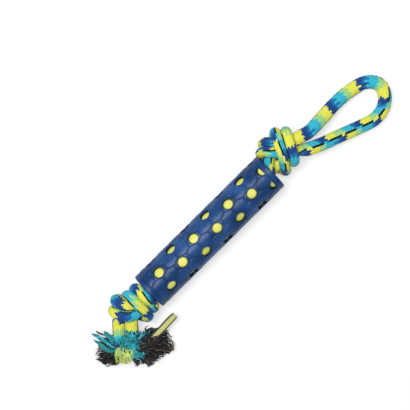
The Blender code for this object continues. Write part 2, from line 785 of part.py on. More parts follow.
def knot_jobs():
    """Each knot's middle, lean, roll, side of the sleeve, and radius, points and directions in which
    its strands leave it."""
    height = AXIS_HEIGHT + KNOT_RISE
    upper, lower, _ = handle_parts()
    handle_exits = ((lower[-1], lower[-2] - lower[-1]), (upper[0], upper[1] - upper[0]))
    tail_exits = []
    for route in (TAIL_A_ROUTE, TAIL_B_ROUTE):
        ahead = np.subtract(route[1], route[0])
        ahead /= np.linalg.norm(ahead)
        tail_exits.append((np.array(route[0]) - ahead * (TAIL_RADIUS + FIT_GAP), ahead))
    top_middle = np.array([SLEEVE_LENGTH + KNOT_REACH * KNOT_PITCH, KNOT_SHIFT, height])
    bottom_middle = np.array([-TAIL_KNOT_REACH * KNOT_PITCH, TAIL_KNOT_SHIFT, height])
    return {
        "top_knot": (top_middle, KNOT_LEAN, KNOT_ROLL, 1, ROPE_RADIUS, handle_exits),
        "bottom_knot": (bottom_middle, TAIL_KNOT_LEAN, TAIL_KNOT_ROLL, -1, TAIL_RADIUS, tail_exits),
    }


def seat_on_ground(toy):
    """Moves the toy so that its origin is the middle of its base."""
    bpy.context.view_layer.update()
    graph = bpy.context.evaluated_depsgraph_get()
    low = np.full(3, np.inf)
    high = np.full(3, -np.inf)
    for piece in bpy.context.scene.objects:
        if piece.type == "EMPTY" or piece.hide_render:
            continue
        solid = piece.evaluated_get(graph)
        mesh = solid.to_mesh()
        points = np.empty(len(mesh.vertices) * 3)
        mesh.vertices.foreach_get("co", points)
        points = points.reshape(-1, 3)
        solid.to_mesh_clear()
        low = np.minimum(low, points.min(axis=0))
        high = np.maximum(high, points.max(axis=0))
    toy.location = (-(low[0] + high[0]) / 2, -(low[1] + high[1]) / 2, -low[2])


def build():
    clear_scene()
    finishes = {
        "sleeve": material("sleeve_rubber", NAVY, 0.42),
        "core": material("core_rubber", LEMON, 0.45),
        "rope": material("braided_rope", TURQUOISE, 0.80),
        "blue": material("turquoise_yarn", TURQUOISE, 0.85),
        "teal": material("teal_yarn", TEAL, 0.85),
        "lime": material("lime_yarn", LIME, 0.85),
        "lemon": material("lemon_yarn", LEMON, 0.85),
        "fibre": material("core_fibre", CHARCOAL, 0.95),
    }
    toy = add_empty("toy", (0, 0, 0))
    add_empty("sleeve_axis", (SLEEVE_LENGTH / 2, 0, AXIS_HEIGHT), toy)
    add_object("outer_sleeve", Sleeve().mesh("outer_sleeve"), finishes["sleeve"], toy)
    add_object("inner_core", core_mesh("inner_core"), finishes["core"], toy)
    add_legs(finishes["rope"], toy)
    knots = {}
    for name, job in knot_jobs().items():
        knots[name] = add_knot(name, job, finishes["rope"], toy)
    add_handle(knots["top_knot"], finishes["rope"], toy)
    add_tails(finishes, toy)
    seat_on_ground(toy)


build()
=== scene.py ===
"""Dressed model of a dog tug toy: braided space-dyed rope through a perforated navy rubber sleeve
with a lemon core, a hand loop, two doubled overhand knots and two frayed tails."""

import math

import bmesh
import bpy
import numpy as np
from mathutils import Matrix, Vector


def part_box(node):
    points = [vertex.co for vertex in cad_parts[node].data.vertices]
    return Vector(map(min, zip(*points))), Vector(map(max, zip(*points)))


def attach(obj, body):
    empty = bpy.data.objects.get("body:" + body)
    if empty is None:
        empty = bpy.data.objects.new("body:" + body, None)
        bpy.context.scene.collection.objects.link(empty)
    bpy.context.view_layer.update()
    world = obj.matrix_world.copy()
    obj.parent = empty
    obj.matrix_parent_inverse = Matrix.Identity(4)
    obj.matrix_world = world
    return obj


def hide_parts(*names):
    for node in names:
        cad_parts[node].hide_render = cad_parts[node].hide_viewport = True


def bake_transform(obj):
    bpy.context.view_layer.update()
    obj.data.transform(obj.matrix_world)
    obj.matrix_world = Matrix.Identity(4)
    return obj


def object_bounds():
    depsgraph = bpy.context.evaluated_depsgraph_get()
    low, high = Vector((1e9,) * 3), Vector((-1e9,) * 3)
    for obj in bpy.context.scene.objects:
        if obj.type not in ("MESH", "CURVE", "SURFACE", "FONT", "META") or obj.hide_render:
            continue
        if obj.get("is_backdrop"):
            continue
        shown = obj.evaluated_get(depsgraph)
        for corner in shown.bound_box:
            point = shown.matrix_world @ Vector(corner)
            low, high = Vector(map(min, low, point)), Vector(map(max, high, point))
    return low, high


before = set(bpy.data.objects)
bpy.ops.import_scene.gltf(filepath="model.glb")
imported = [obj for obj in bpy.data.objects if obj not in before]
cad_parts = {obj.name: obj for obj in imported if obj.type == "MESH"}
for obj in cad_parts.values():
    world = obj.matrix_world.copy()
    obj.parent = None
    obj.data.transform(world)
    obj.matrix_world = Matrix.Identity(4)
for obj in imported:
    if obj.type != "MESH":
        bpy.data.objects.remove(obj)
CAD_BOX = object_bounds()

# The toy's own frame has x = 0 at the sleeve's tail end and y = 0 on the sleeve's axis
SLEEVE_LOW, SLEEVE_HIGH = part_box("outer_sleeve")
SHIFT = np.array([SLEEVE_LOW[0], (SLEEVE_LOW[1] + SLEEVE_HIGH[1]) / 2, SLEEVE_LOW[2]])

# Sizes that the solids share, in metres and degrees
ROPE_DIAMETER = 0.014
KNOT_ROPE_DIAMETER = 0.0105
TAIL_ROPE_DIAMETER = 0.013
ROPE_PLAY = 0.0014
FIT_GAP = 0.0003
SLEEVE_WALL = 0.003
CORE_WALL = 0.0023
END_BAND = 0.0057
END_ROUND = 0.0009
CELL_ROWS = 10
CELL_PITCH = 0.01646
CELL_COLUMNS = 12
HOLE_LENGTH = 0.0116
HOLE_WIDTH = 0.0132
HOLE_CHAMFER = 0.0007
GROOVE_DEPTH = 0.0006
GROOVE_WIDTH = 0.0022
HOLE_TURN = -22.0
# Each knot's reach past the sleeve in knot pitches, its shift across, and its lean and roll
TOP_KNOT = {"outward": 1, "reach": 1.68, "shift": 0.0075, "lean": -6.0, "roll": -105.0}
TAIL_KNOT = {"outward": -1, "reach": 1.92, "shift": -0.002, "lean": 24.0, "roll": 45.0}
LEAD_IN_BORE = 0.010
KNOT_POINTS = 84
SETTLE_ROUNDS = 220
SETTLE_SHORTEN = 0.13
SWELL_START = 0.84
SWELL_SHARE = 0.13
BLEND_POINTS = 9
HANDLE_POINTS = 76
# The sleeve's mesh: steps round it, parts of a cell's edge, and how far the corners are drawn in
STEPS_ROUND = 3 * CELL_COLUMNS
EDGE_PARTS = 4
CORNER_PULL = 0.075
# Points along each kind of smooth route, and steps between two of a route's given points
COURSE_POINTS = 600
HANDLE_RINGS = 300
TAIL_RINGS = 24
TUFT_POINTS = 60
LONG_YARN_POINTS = 40
FRINGE_POINTS = 14
SHEATH_POINTS = 16
CURVE_STEPS = 24

# The handle's route, with x from the sleeve's end
HANDLE_ROUTE = (
    (0.0485, 0.0030, 0.0255),
    (0.0570, 0.0010, 0.0230),
    (0.0685, 0.0010, 0.0190),
    (0.0810, 0.0015, 0.0150),
    (0.0960, 0.0025, 0.0115),
    (0.1100, 0.0020, 0.0090),
    (0.1240, 0.0000, 0.0074),
    (0.1355, -0.0035, 0.0071),
    (0.1430, -0.0100, 0.0071),
    (0.1455, -0.0190, 0.0071),
    (0.1405, -0.0295, 0.0071),
    (0.1290, -0.0370, 0.0071),
    (0.1155, -0.0380, 0.0072),
    (0.1020, -0.0340, 0.0080),
    (0.0875, -0.0285, 0.0100),
    (0.0730, -0.0230, 0.0125),
    (0.0590, -0.0180, 0.0150),
    (0.0490, -0.0135, 0.0170),
)
TAIL_ROUTES = {
    "a": ((-0.0525, -0.0085, 0.0160), (-0.0572, -0.0135, 0.0135), (-0.0602, -0.0167, 0.0118)),
    "b": ((-0.0430, -0.0190, 0.0160), (-0.0470, -0.0240, 0.0135), (-0.0495, -0.0290, 0.0110)),
}
# How the frayed yarns and core fibres spread past the cut ends: centre, half width, half height
CORE_A_SPREAD = (
    (-0.0673, -0.0190, 0.0066, 0.0100, 0.0052),
    (-0.0748, -0.0160, 0.0072, 0.0145, 0.0064),
    (-0.0830, -0.0125, 0.0072, 0.0125, 0.0062),
    (-0.0878, -0.0110, 0.0068, 0.0060, 0.0040),
)
CORE_B_SPREAD = (
    (-0.0495, -0.0365, 0.0066, 0.0110, 0.0052),
    (-0.0425, -0.0440, 0.0072, 0.0220, 0.0064),
    (-0.0385, -0.0525, 0.0072, 0.0205, 0.0062),
    (-0.0370, -0.0595, 0.0068, 0.0110, 0.0040),
)
TEAL_SPREAD = (
    (-0.0680, -0.0130, 0.0185, 0.0046, 0.0028),
    (-0.0685, -0.0030, 0.0180, 0.0062, 0.0030),
    (-0.0730, 0.0100, 0.0150, 0.0058, 0.0024),
)
LIME_SPREAD = (
    (-0.0640, -0.0250, 0.0183, 0.0050, 0.0026),
    (-0.0670, -0.0310, 0.0183, 0.0078, 0.0028),
    (-0.0690, -0.0380, 0.0170, 0.0048, 0.0020),
)
BLUE_SPREAD = (
    (-0.0520, -0.0352, 0.0183, 0.0068, 0.0026),
    (-0.0522, -0.0400, 0.0183, 0.0084, 0.0028),
    (-0.0524, -0.0452, 0.0170, 0.0056, 0.0020),
)
LONG_YARN = (
    (-0.0400, -0.0365, 0.0186, 0.0020, 0.0020),
    (-0.0230, -0.0370, 0.0190, 0.0026, 0.0024),
    (-0.0080, -0.0365, 0.0172, 0.0028, 0.0025),
    (0.0020, -0.0365, 0.0160, 0.0025, 0.0022),
)
# Core fibres over the root of the long yarn and between the lime yarns and tail b's fluff, and navy
# yarns beside tail b
CORE_TOP_SPREAD = (
    (-0.0430, -0.0360, 0.0215, 0.0045, 0.0022),
    (-0.0330, -0.0395, 0.0220, 0.0068, 0.0026),
    (-0.0235, -0.0420, 0.0195, 0.0050, 0.0022),
)
CORE_LOW_SPREAD = (
    (-0.0520, -0.0370, 0.0080, 0.0055, 0.0046),
    (-0.0590, -0.0425, 0.0080, 0.0078, 0.0050),
    (-0.0640, -0.0475, 0.0070, 0.0055, 0.0040),
)
NAVY_SPREAD = (
    (-0.0425, -0.0305, 0.0180, 0.0036, 0.0024),
    (-0.0335, -0.0300, 0.0185, 0.0050, 0.0026),
    (-0.0250, -0.0300, 0.0165, 0.0038, 0.0020),
)
# The middle of tail b's open sheath, and how far its yarns fall across and up the picture
MOUTH = (-0.0460, -0.0270, 0.0180)
SHEATH_WIDE = 0.0165
SHEATH_NARROW = 0.0115
# The neck's hinge, the loop's hinge and the neck's end, as x from the sleeve's end, how far the rope's
# bend reaches before and after each hinge, and how far the loop's rope overlaps the neck's
SWAY_X = 0.0635
NECK_SPLIT_X = 0.0735
SWAY_BEND = (0.0125, 0.006)
NECK_OVERLAP = 0.0007

# Braid, and the space-dyed pattern along it
BRAID_COLUMNS = 16
STITCH_PITCH = 0.0034
VERTS_PER_COLUMN = 5
RINGS_PER_STITCH = 6
DYE_PERIOD = 0.0410
DYE_SCATTER = 0.09
DYE_SEED = 1
DASH_PERIOD = 0.0190
DASH_SHARE = 0.68
# Where along the dye's pattern the loop's and the tails' ropes start, and how columns are rolled, as
# (share of the length, degrees)
LOOP_DYE = 0.0260
UPPER_ROLLS = ((0.0, 15.0), (1.0, 15.0))
LOOP_ROLLS = ((0.0, 15.0), (0.42, 15.0), (0.66, -75.0), (1.0, -75.0))
LOWER_ROLLS = ((0.0, -75.0), (0.15, -75.0), (0.3, 105.0), (1.0, 105.0))
TAIL_A_DYE = 0.012
TAIL_B_DYE = 0.018
TAIL_A_ROLLS = ((0.0, 0.0), (1.0, 0.0))
TAIL_B_ROLLS = ((0.0, 150.0), (0.6, 150.0), (0.8, 0.0), (1.0, 0.0))
# How far back along the knot's strand each tail's own rope starts
TAIL_LEAD = 0.012

# How each kind of tuft is built: places along a fibre, the shortest one's share of the tuft, crimp,
# how far fibres stand up, spread, lean and run on past its end, their radii and their sides
FLUFF = {"places": 28, "least": 0.40, "crimp": 0.0022, "wavelength": 0.0085, "puff": 2.3, "fuller": 1.0,
         "lean": 0.0, "onward": 0.0, "thin": 0.00026, "thick": 0.00048, "sides": 4}
YARN = {"places": 20, "least": 0.65, "crimp": 0.0012, "wavelength": 0.0090, "puff": 1.0, "fuller": 1.35,
        "lean": 0.0, "onward": 0.0, "thin": 0.00050, "thick": 0.00085, "sides": 6}
FLUFF_A = {**FLUFF, "count": 460, "locks": 90, "fuller": 1.15}
FLUFF_B = {**FLUFF, "count": 720, "locks": 130, "lean": 0.010, "onward": 0.003}
FLUFF_TOP = {**FLUFF, "count": 170, "locks": 40, "puff": 1.0}
FLUFF_LOW = {**FLUFF, "count": 170, "locks": 40, "puff": 1.4}
NAVY_LOOK = {**YARN, "count": 44, "locks": 14}
TEAL_LOOK = {**YARN, "count": 38, "locks": 13, "least": 0.80, "crimp": 0.0006, "wavelength": 0.0150,
             "fuller": 1.4, "thin": 0.00070, "thick": 0.00105}
LIME_LOOK = {**YARN, "count": 120, "locks": 44, "fuller": 1.5, "lean": 0.003}
BLUE_LOOK = {**YARN, "count": 56, "locks": 18}
WAVE_PHASES = 6.3

# The photograph's frame: its width, its middle on the floor, and its directions right and up
PHOTO_PIXELS = 410
PIXEL_SIZE = 0.00105
PICTURE_MIDDLE = (0.1038, 0.0227)
PICTURE_RIGHT = (0.710, -0.704, 0.0)
PICTURE_UP = (0.704, 0.710, 0.0)
LENS = 100

# Floor and light
FLOOR_REACH = 3.0
FLOOR_LIT = (0.55, 0.55, 0.55, 1)
FLOOR_SEEN = (0.95, 0.95, 0.95, 1)
FLOOR_GLOW = 0.55
WORLD_STRENGTH = 0.28
LAMP_PLACE = (-0.15, 0.35, 1.7)
LAMP_SIZE = 0.9
LAMP_POWER = 30

ROPE_RADIUS = ROPE_DIAMETER / 2
KNOT_RADIUS = KNOT_ROPE_DIAMETER / 2
TAIL_RADIUS = TAIL_ROPE_DIAMETER / 2
CORE_RADIUS = ROPE_DIAMETER + ROPE_PLAY + CORE_WALL
BORE_RADIUS = CORE_RADIUS + FIT_GAP
SLEEVE_RADIUS = BORE_RADIUS + SLEEVE_WALL
SLEEVE_LENGTH = 2 * END_BAND + CELL_ROWS * CELL_PITCH
LEG_OFFSET = ROPE_RADIUS + FIT_GAP / 2
KNOT_PITCH = KNOT_ROPE_DIAMETER + 2 * FIT_GAP
KNOT_HALF_LENGTH = 1.92 * KNOT_PITCH
KNOT_RISE = 2.08 * KNOT_PITCH - SLEEVE_RADIUS
AXIS_HEIGHT = SLEEVE_RADIUS

# Colours as they look under a plain light, linear
NAVY = (0.006, 0.055, 0.240)
BLUE = (0.008, 0.150, 0.420)
TURQUOISE = (0.035, 0.480, 0.620)
LIGHT_GREEN = (0.350, 0.660, 0.250)
YELLOW = (0.780, 0.780, 0.090)
CHARCOAL = (0.006, 0.010, 0.014)
TEAL = (0.004, 0.220, 0.220)
SEA = (0.003, 0.280, 0.320)
LIME = (0.430, 0.600, 0.100)
LEMON = (0.600, 0.600, 0.130)
PALE_LEMON = (0.520, 0.530, 0.190)
OLIVE = (0.045, 0.050, 0.012)
FIBRE_BLACK = (0.005, 0.004, 0.005)
FIBRE_BROWN = (0.024, 0.017, 0.015)
FIBRE_GREY = (0.105, 0.090, 0.085)
DYE_ORDER = ((0.17, NAVY), (0.10, BLUE), (0.27, TURQUOISE), (0.18, LIGHT_GREEN), (0.28, YELLOW))
# Rubber's darker and paler patches, and the colour of the shade painted into its grooves, hole walls and
# hole rims
SLEEVE_COLOURS = ((0.007, 0.040, 0.138), (0.030, 0.104, 0.310), (0.002, 0.010, 0.036))
CORE_COLOURS = ((0.700, 0.700, 0.140), (0.790, 0.790, 0.200), (0.010, 0.030, 0.028))
RUBBER_GLOSS = 0.2


# Camera, floor and light


def add_object(name, data):
    thing = bpy.data.objects.new(name, data)
    bpy.context.scene.collection.objects.link(thing)
    return thing


def add_camera():
    """Straight above the toy, with the sleeve rising to the right as it lies in the photograph."""
    data = bpy.data.cameras.new("camera")
    data.lens = LENS
    across = Vector(PICTURE_RIGHT).normalized()
    up = Vector(PICTURE_UP).normalized()
    turn = Matrix((across, up, Vector((0, 0, 1)))).transposed().to_4x4()
    distance = PHOTO_PIXELS * PIXEL_SIZE * LENS / data.sensor_width
    turn.translation = (PICTURE_MIDDLE[0] + SHIFT[0], PICTURE_MIDDLE[1] + SHIFT[1], distance)
    camera = add_object("camera", data)
    camera.matrix_world = turn
    bpy.context.scene.camera = camera


def add_floor():
    mesh = bpy.data.meshes.new("floor")
    corners = [(x * FLOOR_REACH, y * FLOOR_REACH, 0) for x, y in ((-1, -1), (1, -1), (1, 1), (-1, 1))]
    mesh.from_pydata(corners, [], [(0, 1, 2, 3)])
    mesh.materials.append(floor_material())
    add_object("floor", mesh)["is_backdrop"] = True


def add_light():
    """A white world and one broad round lamp, aimed at the toy."""
    world = bpy.data.worlds.new("studio")
    bpy.context.scene.world = world
    world.use_nodes = True
    background = world.node_tree.nodes["Background"]
    background.inputs["Color"].default_value = (1, 1, 1, 1)
    background.inputs["Strength"].default_value = WORLD_STRENGTH
    data = bpy.data.lights.new("key", "AREA")
    data.shape = "DISK"
    data.size = LAMP_SIZE
    data.energy = LAMP_POWER
    lamp = add_object("key", data)
    lamp.location = LAMP_PLACE
    lamp.rotation_euler = (-Vector(LAMP_PLACE)).to_track_quat("-Z", "Y").to_euler()


# Materials


class Finish:
    """A material as it is built. A node's socket takes a plain value or another node's result."""

    def __init__(self, name, sockets):
        self.material = bpy.data.materials.new(name)
        self.material.use_nodes = True
        self.nodes = self.material.node_tree.nodes
        self.shader = self.nodes["Principled BSDF"]
        self.join(self.shader, sockets)

    def join(self, node, sockets):
        for socket, value in sockets.items():
            if isinstance(value, bpy.types.NodeSocket):
                self.material.node_tree.links.new(value, node.inputs[socket])
            else:
                node.inputs[socket].default_value = value

    def node(self, kind, sockets=None, operation=None):
        node = self.nodes.new("ShaderNode" + kind)
        if operation:
            node.operation = operation
        self.join(node, sockets or {})
        return node

    def number(self, operation, *values):
        """The result of one sum on plain numbers or on other nodes' results."""
        return self.node("Math", dict(enumerate(values)), operation).outputs["Value"]

    def distance(self, across, along):
        squares = [self.number("MULTIPLY", part, part) for part in (across, along)]
        return self.number("SQRT", self.number("ADD", *squares))

    def ranged(self, value, start, end, first=0.0, last=1.0):
        """First where the value is at its start, last where it is at its end, even between."""
        sockets = {"Value": value, "From Min": start, "From Max": end, "To Min": first, "To Max": last}
        return self.node("MapRange", sockets).outputs["Result"]

    def noise(self, place, scale, detail):
        return self.node("TexNoise", {"Vector": place, "Scale": scale, "Detail": detail}).outputs["Fac"]

    def object_place(self):
        return self.node("TexCoord").outputs["Object"]

    def mix(self, share, first, second):
        mix = self.node("Mix")
        mix.data_type = "RGBA"
        self.join(mix, {"Factor": share, "A": first, "B": second})
        return mix.outputs["Result"]

    def colour_yarn(self, shade):
        """Takes the yarns' own colours from the mesh, each lighter or darker by the shade."""
        yarn = self.node("Attribute")
        yarn.attribute_name = "yarn"
        shaded = self.node("VectorMath", {0: yarn.outputs["Color"], "Scale": shade}, "SCALE")
        self.join(self.shader, {"Base Color": shaded.outputs["Vector"]})

    def bump(self, height, strength, distance):
        bump = self.node("Bump", {"Height": height, "Strength": strength, "Distance": distance})
        self.join(self.shader, {"Normal": bump.outputs["Normal"]})


def floor_material():
    """White as it is seen, with half of the object's shadow, and greyer where it lights the toy."""
    finish = Finish("floor_white", {"Roughness": 0.9, "Specular IOR Level": 0.0})
    path = finish.node("LightPath")
    seen = path.outputs["Is Camera Ray"]
    for ray in ("Is Glossy Ray", "Is Transmission Ray"):
        seen = finish.number("MAXIMUM", seen, path.outputs[ray])
    finish.join(finish.shader, {"Base Color": finish.mix(seen, FLOOR_LIT, FLOOR_SEEN)})
    white = finish.node("Emission", {"Strength": 1.0})
    glow = finish.number("MULTIPLY", seen, FLOOR_GLOW)
    lit = finish.shader.outputs["BSDF"]
    blend = finish.node("MixShader", {"Fac": glow, 1: lit, 2: white.outputs["Emission"]})
    finish.join(finish.nodes["Material Output"], {"Surface": blend.outputs["Shader"]})
    return finish.material


def rope_material():
    """Braided yarn in its dyed colours, streaked along its stitches."""
    sockets = {"Roughness": 0.72, "Specular IOR Level": 0.25, "Sheen Weight": 0.08}
    finish = Finish("braided_yarn", sockets)
    braid = finish.node("UVMap")
    braid.uv_map = "braid"
    stretch = finish.node("Mapping", {"Vector": braid.outputs["UV"], "Scale": (9.0, 1.6, 1.0)})
    fibre = finish.noise(stretch.outputs["Vector"], scale=1.0, detail=3.0)
    finish.colour_yarn(finish.ranged(fibre, 0.25, 0.75, first=0.72, last=1.15))
    finish.bump(fibre, strength=0.5, distance=0.0004)
    return finish.material


def yarn_material(name, roughness, sheen):
    """Loose yarn in its own colour, finely mottled."""
    finish = Finish(name, {"Roughness": roughness, "Sheen Weight": sheen})
    mottle = finish.noise(finish.object_place(), scale=900.0, detail=2.0)
    finish.colour_yarn(finish.ranged(mottle, 0.0, 1.0, first=0.6, last=1.4))
    return finish.material


def sleeve_place(finish):
    """Where a point lies on the sleeve: length along it, turn round it and reach from its axis."""
    parts = finish.node("SeparateXYZ", {"Vector": finish.object_place()}).outputs
    along = finish.number("SUBTRACT", parts["X"], SHIFT[0])
    across = finish.number("SUBTRACT", SHIFT[1], parts["Y"])
    height = finish.number("SUBTRACT", parts["Z"], AXIS_HEIGHT + SHIFT[2])
    return along, finish.number("ARCTAN2", across, height), finish.distance(across, height)


def clear_of_groove_shade(finish):
    """1 on the sleeve's panels, falling in its grooves and down the walls of its holes, where shade is
    painted.
    """
    reach = sleeve_place(finish)[2]
    # Painted shade: darker the deeper a point lies below the panels
    return finish.ranged(reach, SLEEVE_RADIUS - 2.5 * GROOVE_DEPTH, SLEEVE_RADIUS)


def under_holes(finish):
    """1 on the core in the middle of each hole, falling to 0 where the sleeve covers it, as painted
    shade round each hole's rim.
    """
    number = finish.number
    along, turn, _ = sleeve_place(finish)
    column_turn = 2 * math.pi / CELL_COLUMNS
    row_length = 1.5 * CELL_PITCH
    column = number("DIVIDE", number("SUBTRACT", turn, math.radians(HOLE_TURN)), column_turn)
    row = number("DIVIDE", number("SUBTRACT", along, END_BAND + CELL_PITCH), row_length)
    slants = []
    for operation in ("ADD", "SUBTRACT"):
        slant = number("MULTIPLY", number(operation, column, row), 0.5)
        slants.append(number("SUBTRACT", slant, number("ROUND", slant)))
    across = number("MULTIPLY", number("ADD", *slants), CORE_RADIUS * column_turn)
    ahead = number("MULTIPLY", number("SUBTRACT", *slants), row_length)
    # Painted shade on the core darkens from the unshaded inset out to the hole's rim
    rim = HOLE_LENGTH / 2
    shaded_rim_inset = 0.0002
    unshaded_rim_inset = 0.0018
    return finish.ranged(finish.distance(across, ahead), rim - shaded_rim_inset, rim - unshaded_rim_inset)


def rubber_material(name, colours, unshaded, roughness, blotch):
    """Satin moulded rubber with broad soft patches and a fine grain, and painted shade mixed in
    where the mask falls."""
    finish = Finish(name, {"Roughness": roughness, "Specular IOR Level": RUBBER_GLOSS})
    place = finish.object_place()
    # The third colour is the painted shade's colour
    dark, pale, painted_shade = ((*colour, 1) for colour in colours)
    dark_until = 0.38
    pale_from = 0.72
    patches = finish.node("ValToRGB", {"Fac": finish.noise(place, scale=blotch, detail=2.0)})
    ends = zip(patches.color_ramp.elements, (dark_until, pale_from), (dark, pale))
    for end, position, colour in ends:
        end.position = position
        end.color = colour
    # Painted shade: the dark colour is mixed in where the mask falls, in grooves, hole walls and round
    # hole rims
    shaded_colour = finish.mix(unshaded(finish), painted_shade, patches.outputs["Color"])
    finish.join(finish.shader, {"Base Color": shaded_colour})
    finish.bump(finish.noise(place, scale=160.0, detail=4.0), strength=0.35, distance=0.0012)
    return finish.material


# Pieces


def add_piece(name, points, faces, finish):
    """A smooth mesh from points in the toy's own frame, with its material."""
    mesh = bpy.data.meshes.new(name)
    mesh.from_pydata((np.reshape(points, (-1, 3)) + SHIFT).tolist(), [], faces)
    mesh.materials.append(finish)
    mesh.shade_smooth()
    piece = add_object(name, mesh)
    return piece


def tube_faces(count, rings, around):
    """The faces of closed tubes, whose points run round each ring and then along."""
    grid = np.arange(count * rings * around).reshape(count, rings, around)
    turned = np.roll(grid, -1, axis=2)
    quads = np.stack([grid[:, :-1], turned[:, :-1], turned[:, 1:], grid[:, 1:]], axis=3)
    return quads.reshape(-1, 4).tolist() + grid[:, 0, ::-1].tolist() + grid[:, -1].tolist()


def paint_yarn(piece, domain, colours):
    paint = piece.data.color_attributes.new("yarn", "FLOAT_COLOR", domain)
    paint.data.foreach_set("color", np.column_stack([colours, np.ones(len(colours))]).ravel())


# Smooth routes


def even_run(points, count):
    """The polyline's points, spread evenly along it."""
    points = np.asarray(points, float)
    along = np.concatenate([[0], np.cumsum(np.linalg.norm(np.diff(points[:, :3], axis=0), axis=1))])
    wanted = np.linspace(0, along[-1], count)
    return np.stack([np.interp(wanted, along, column) for column in points.T], axis=1)


def smooth_route(points, count):
    """An even run of points on the Catmull-Rom curve through the given ones."""
    points = np.asarray(points, float)
    points = np.vstack([2 * points[0] - points[1], points, 2 * points[-1] - points[-2]])
    pieces = []
    t = np.linspace(0, 1, CURVE_STEPS, endpoint=False)[:, None]
    for before, start, end, after in zip(points, points[1:], points[2:], points[3:]):
        bend = 2 * before - 5 * start + 4 * end - after
        cube = 3 * start - 3 * end + after - before
        pieces.append(0.5 * (2 * start + (end - before) * t + bend * t**2 + cube * t**3))
    return even_run(np.vstack(pieces + [points[-2:-1]]), count)


def run_length(points):
    return float(np.linalg.norm(np.diff(points[:, :3], axis=0), axis=1).sum())


def unit(vectors):
    """The vectors' directions, each of length one."""
    return vectors / np.linalg.norm(vectors, axis=-1, keepdims=True)


# Knots, tied as in the solids


def knot_course():
    """The doubled rope's centre line and sideways directions through one overhand knot, drawn tight:
    in through the middle, back in a coil round itself, and out again."""
    inner = 0.5 * KNOT_PITCH
    outer = 1.5 * KNOT_PITCH
    half = 0.8 * KNOT_PITCH
    whole_turn = 540.0
    coil_start = 65.0
    run_in = [
        (-KNOT_HALF_LENGTH - LEAD_IN_BORE, 0.1 * inner, 0.0),
        (-2.0 * KNOT_PITCH, 0.35 * inner, 0.0),
        (-half, inner, 0.0),
        (0.0, inner, 0.0),
        (0.8 * half, inner, 5.0),
        (half + 0.6 * KNOT_PITCH, inner + 0.43 * KNOT_PITCH, 25.0),
        (half + 0.43 * KNOT_PITCH, outer - 0.09 * KNOT_PITCH, coil_start),
    ]
    coil = []
    coil_parts = 8
    for k in range(1, coil_parts):
        share = k / coil_parts
        turn = coil_start + (whole_turn - 2 * coil_start) * share
        coil.append((half * (1 - 2 * share), outer, turn))
    run_out = [(-x, radius, whole_turn - turn) for x, radius, turn in reversed(run_in)]
    course = smooth_route(run_in + coil + run_out, COURSE_POINTS)
    turn = np.radians(course[:, 2])
    centre = np.stack([course[:, 0], course[:, 1] * np.cos(turn), course[:, 1] * np.sin(turn)], 1)
    course = even_run(np.column_stack([centre, turn]), KNOT_POINTS)
    centre, turn = course[:, :3], course[:, 3]
    outward = np.stack([np.zeros(KNOT_POINTS), np.cos(turn), np.sin(turn)], 1)
    ahead = np.gradient(centre, axis=0)
    return centre, unit(np.cross(ahead, outward))


def off_middle(line):
    """From each point to the middle of its neighbours, and nothing at the ends."""
    off = np.zeros_like(line)
    off[1:-1] = 0.5 * (line[:-2] + line[2:]) - line[1:-1]
    return off


def settle(strands, radii, keep_clear):
    """Draws the strands tight: each grows a little shorter, bends gently and pushes off the rope it
    meets. The three points at each end of a strand stay where they are."""
    count = len(strands[0])
    points = np.concatenate(strands)
    radii = np.tile(radii, len(strands))
    strand = np.repeat(np.arange(len(strands)), count)
    order = np.tile(np.arange(count), len(strands))
    held_count = 3
    rounds_each = 3
    clearance = 1.6 * FIT_GAP
    stretch_ease = 0.25
    bend_ease = 0.15
    wave_ease = 0.3
    push_ease = 0.5
    longest_push = 0.6
    near_along = 1.5
    never_zero = 1e-9
    fixed = (order < held_count) | (order >= count - held_count)
    held = points[fixed]
    reach = radii[:, None] + radii + clearance
    same = strand[:, None] == strand
    steps_apart = np.abs(order[:, None] - order)
    first_step = np.linalg.norm(np.diff(strands[0], axis=0), axis=1).mean()
    for turn in range(SETTLE_ROUNDS):
        step = first_step * (1 - SETTLE_SHORTEN * min(1.0, 2 * turn / SETTLE_ROUNDS))
        for start in range(0, len(points), count):
            line = points[start : start + count]
            for _ in range(rounds_each):
                for parity in (0, 1):
                    i = np.arange(parity, count - 1, 2)
                    gap = line[i + 1] - line[i]
                    length = np.linalg.norm(gap, axis=1)[:, None]
                    shift = gap * (length - step) / length * stretch_ease
                    line[i] += shift
                    line[i + 1] -= shift
                bend = off_middle(line)
                line += bend_ease * bend - wave_ease * off_middle(bend)
                points[fixed] = held
        neighbours = same & (steps_apart * step < near_along * reach)
        for _ in range(rounds_each):
            apart = points[:, None] - points
            distance = np.linalg.norm(apart, axis=2) + never_zero
            overlap = np.where((distance < reach) & ~neighbours, reach - distance, 0.0)
            push = (apart / distance[..., None] * overlap[..., None] * push_ease).sum(axis=1)
            size = np.linalg.norm(push, axis=1) + never_zero
            most = longest_push * overlap.max(axis=1)
            points += push / size[:, None] * np.minimum(size, most)[:, None]
            keep_clear(points, radii)
            points[fixed] = held
    return [points[i * count : (i + 1) * count] for i in range(len(strands))]


def smooth_step(share):
    """Eases from 0 to 1 over shares of 0 to 1, and stays there outside them."""
    share = np.clip(share, 0, 1)
    return share * share * (3 - 2 * share)


def strand_radii(exit_radius):
    """A strand's radius along it: squeezed in the knot, full in the sleeve and where it leaves."""
    share = np.linspace(-1, 1, KNOT_POINTS)
    ease = smooth_step((np.abs(share) - SWELL_START) / SWELL_SHARE)
    end_radius = np.where(share < 0, ROPE_RADIUS, exit_radius)
    return KNOT_RADIUS + (end_radius - KNOT_RADIUS) * ease


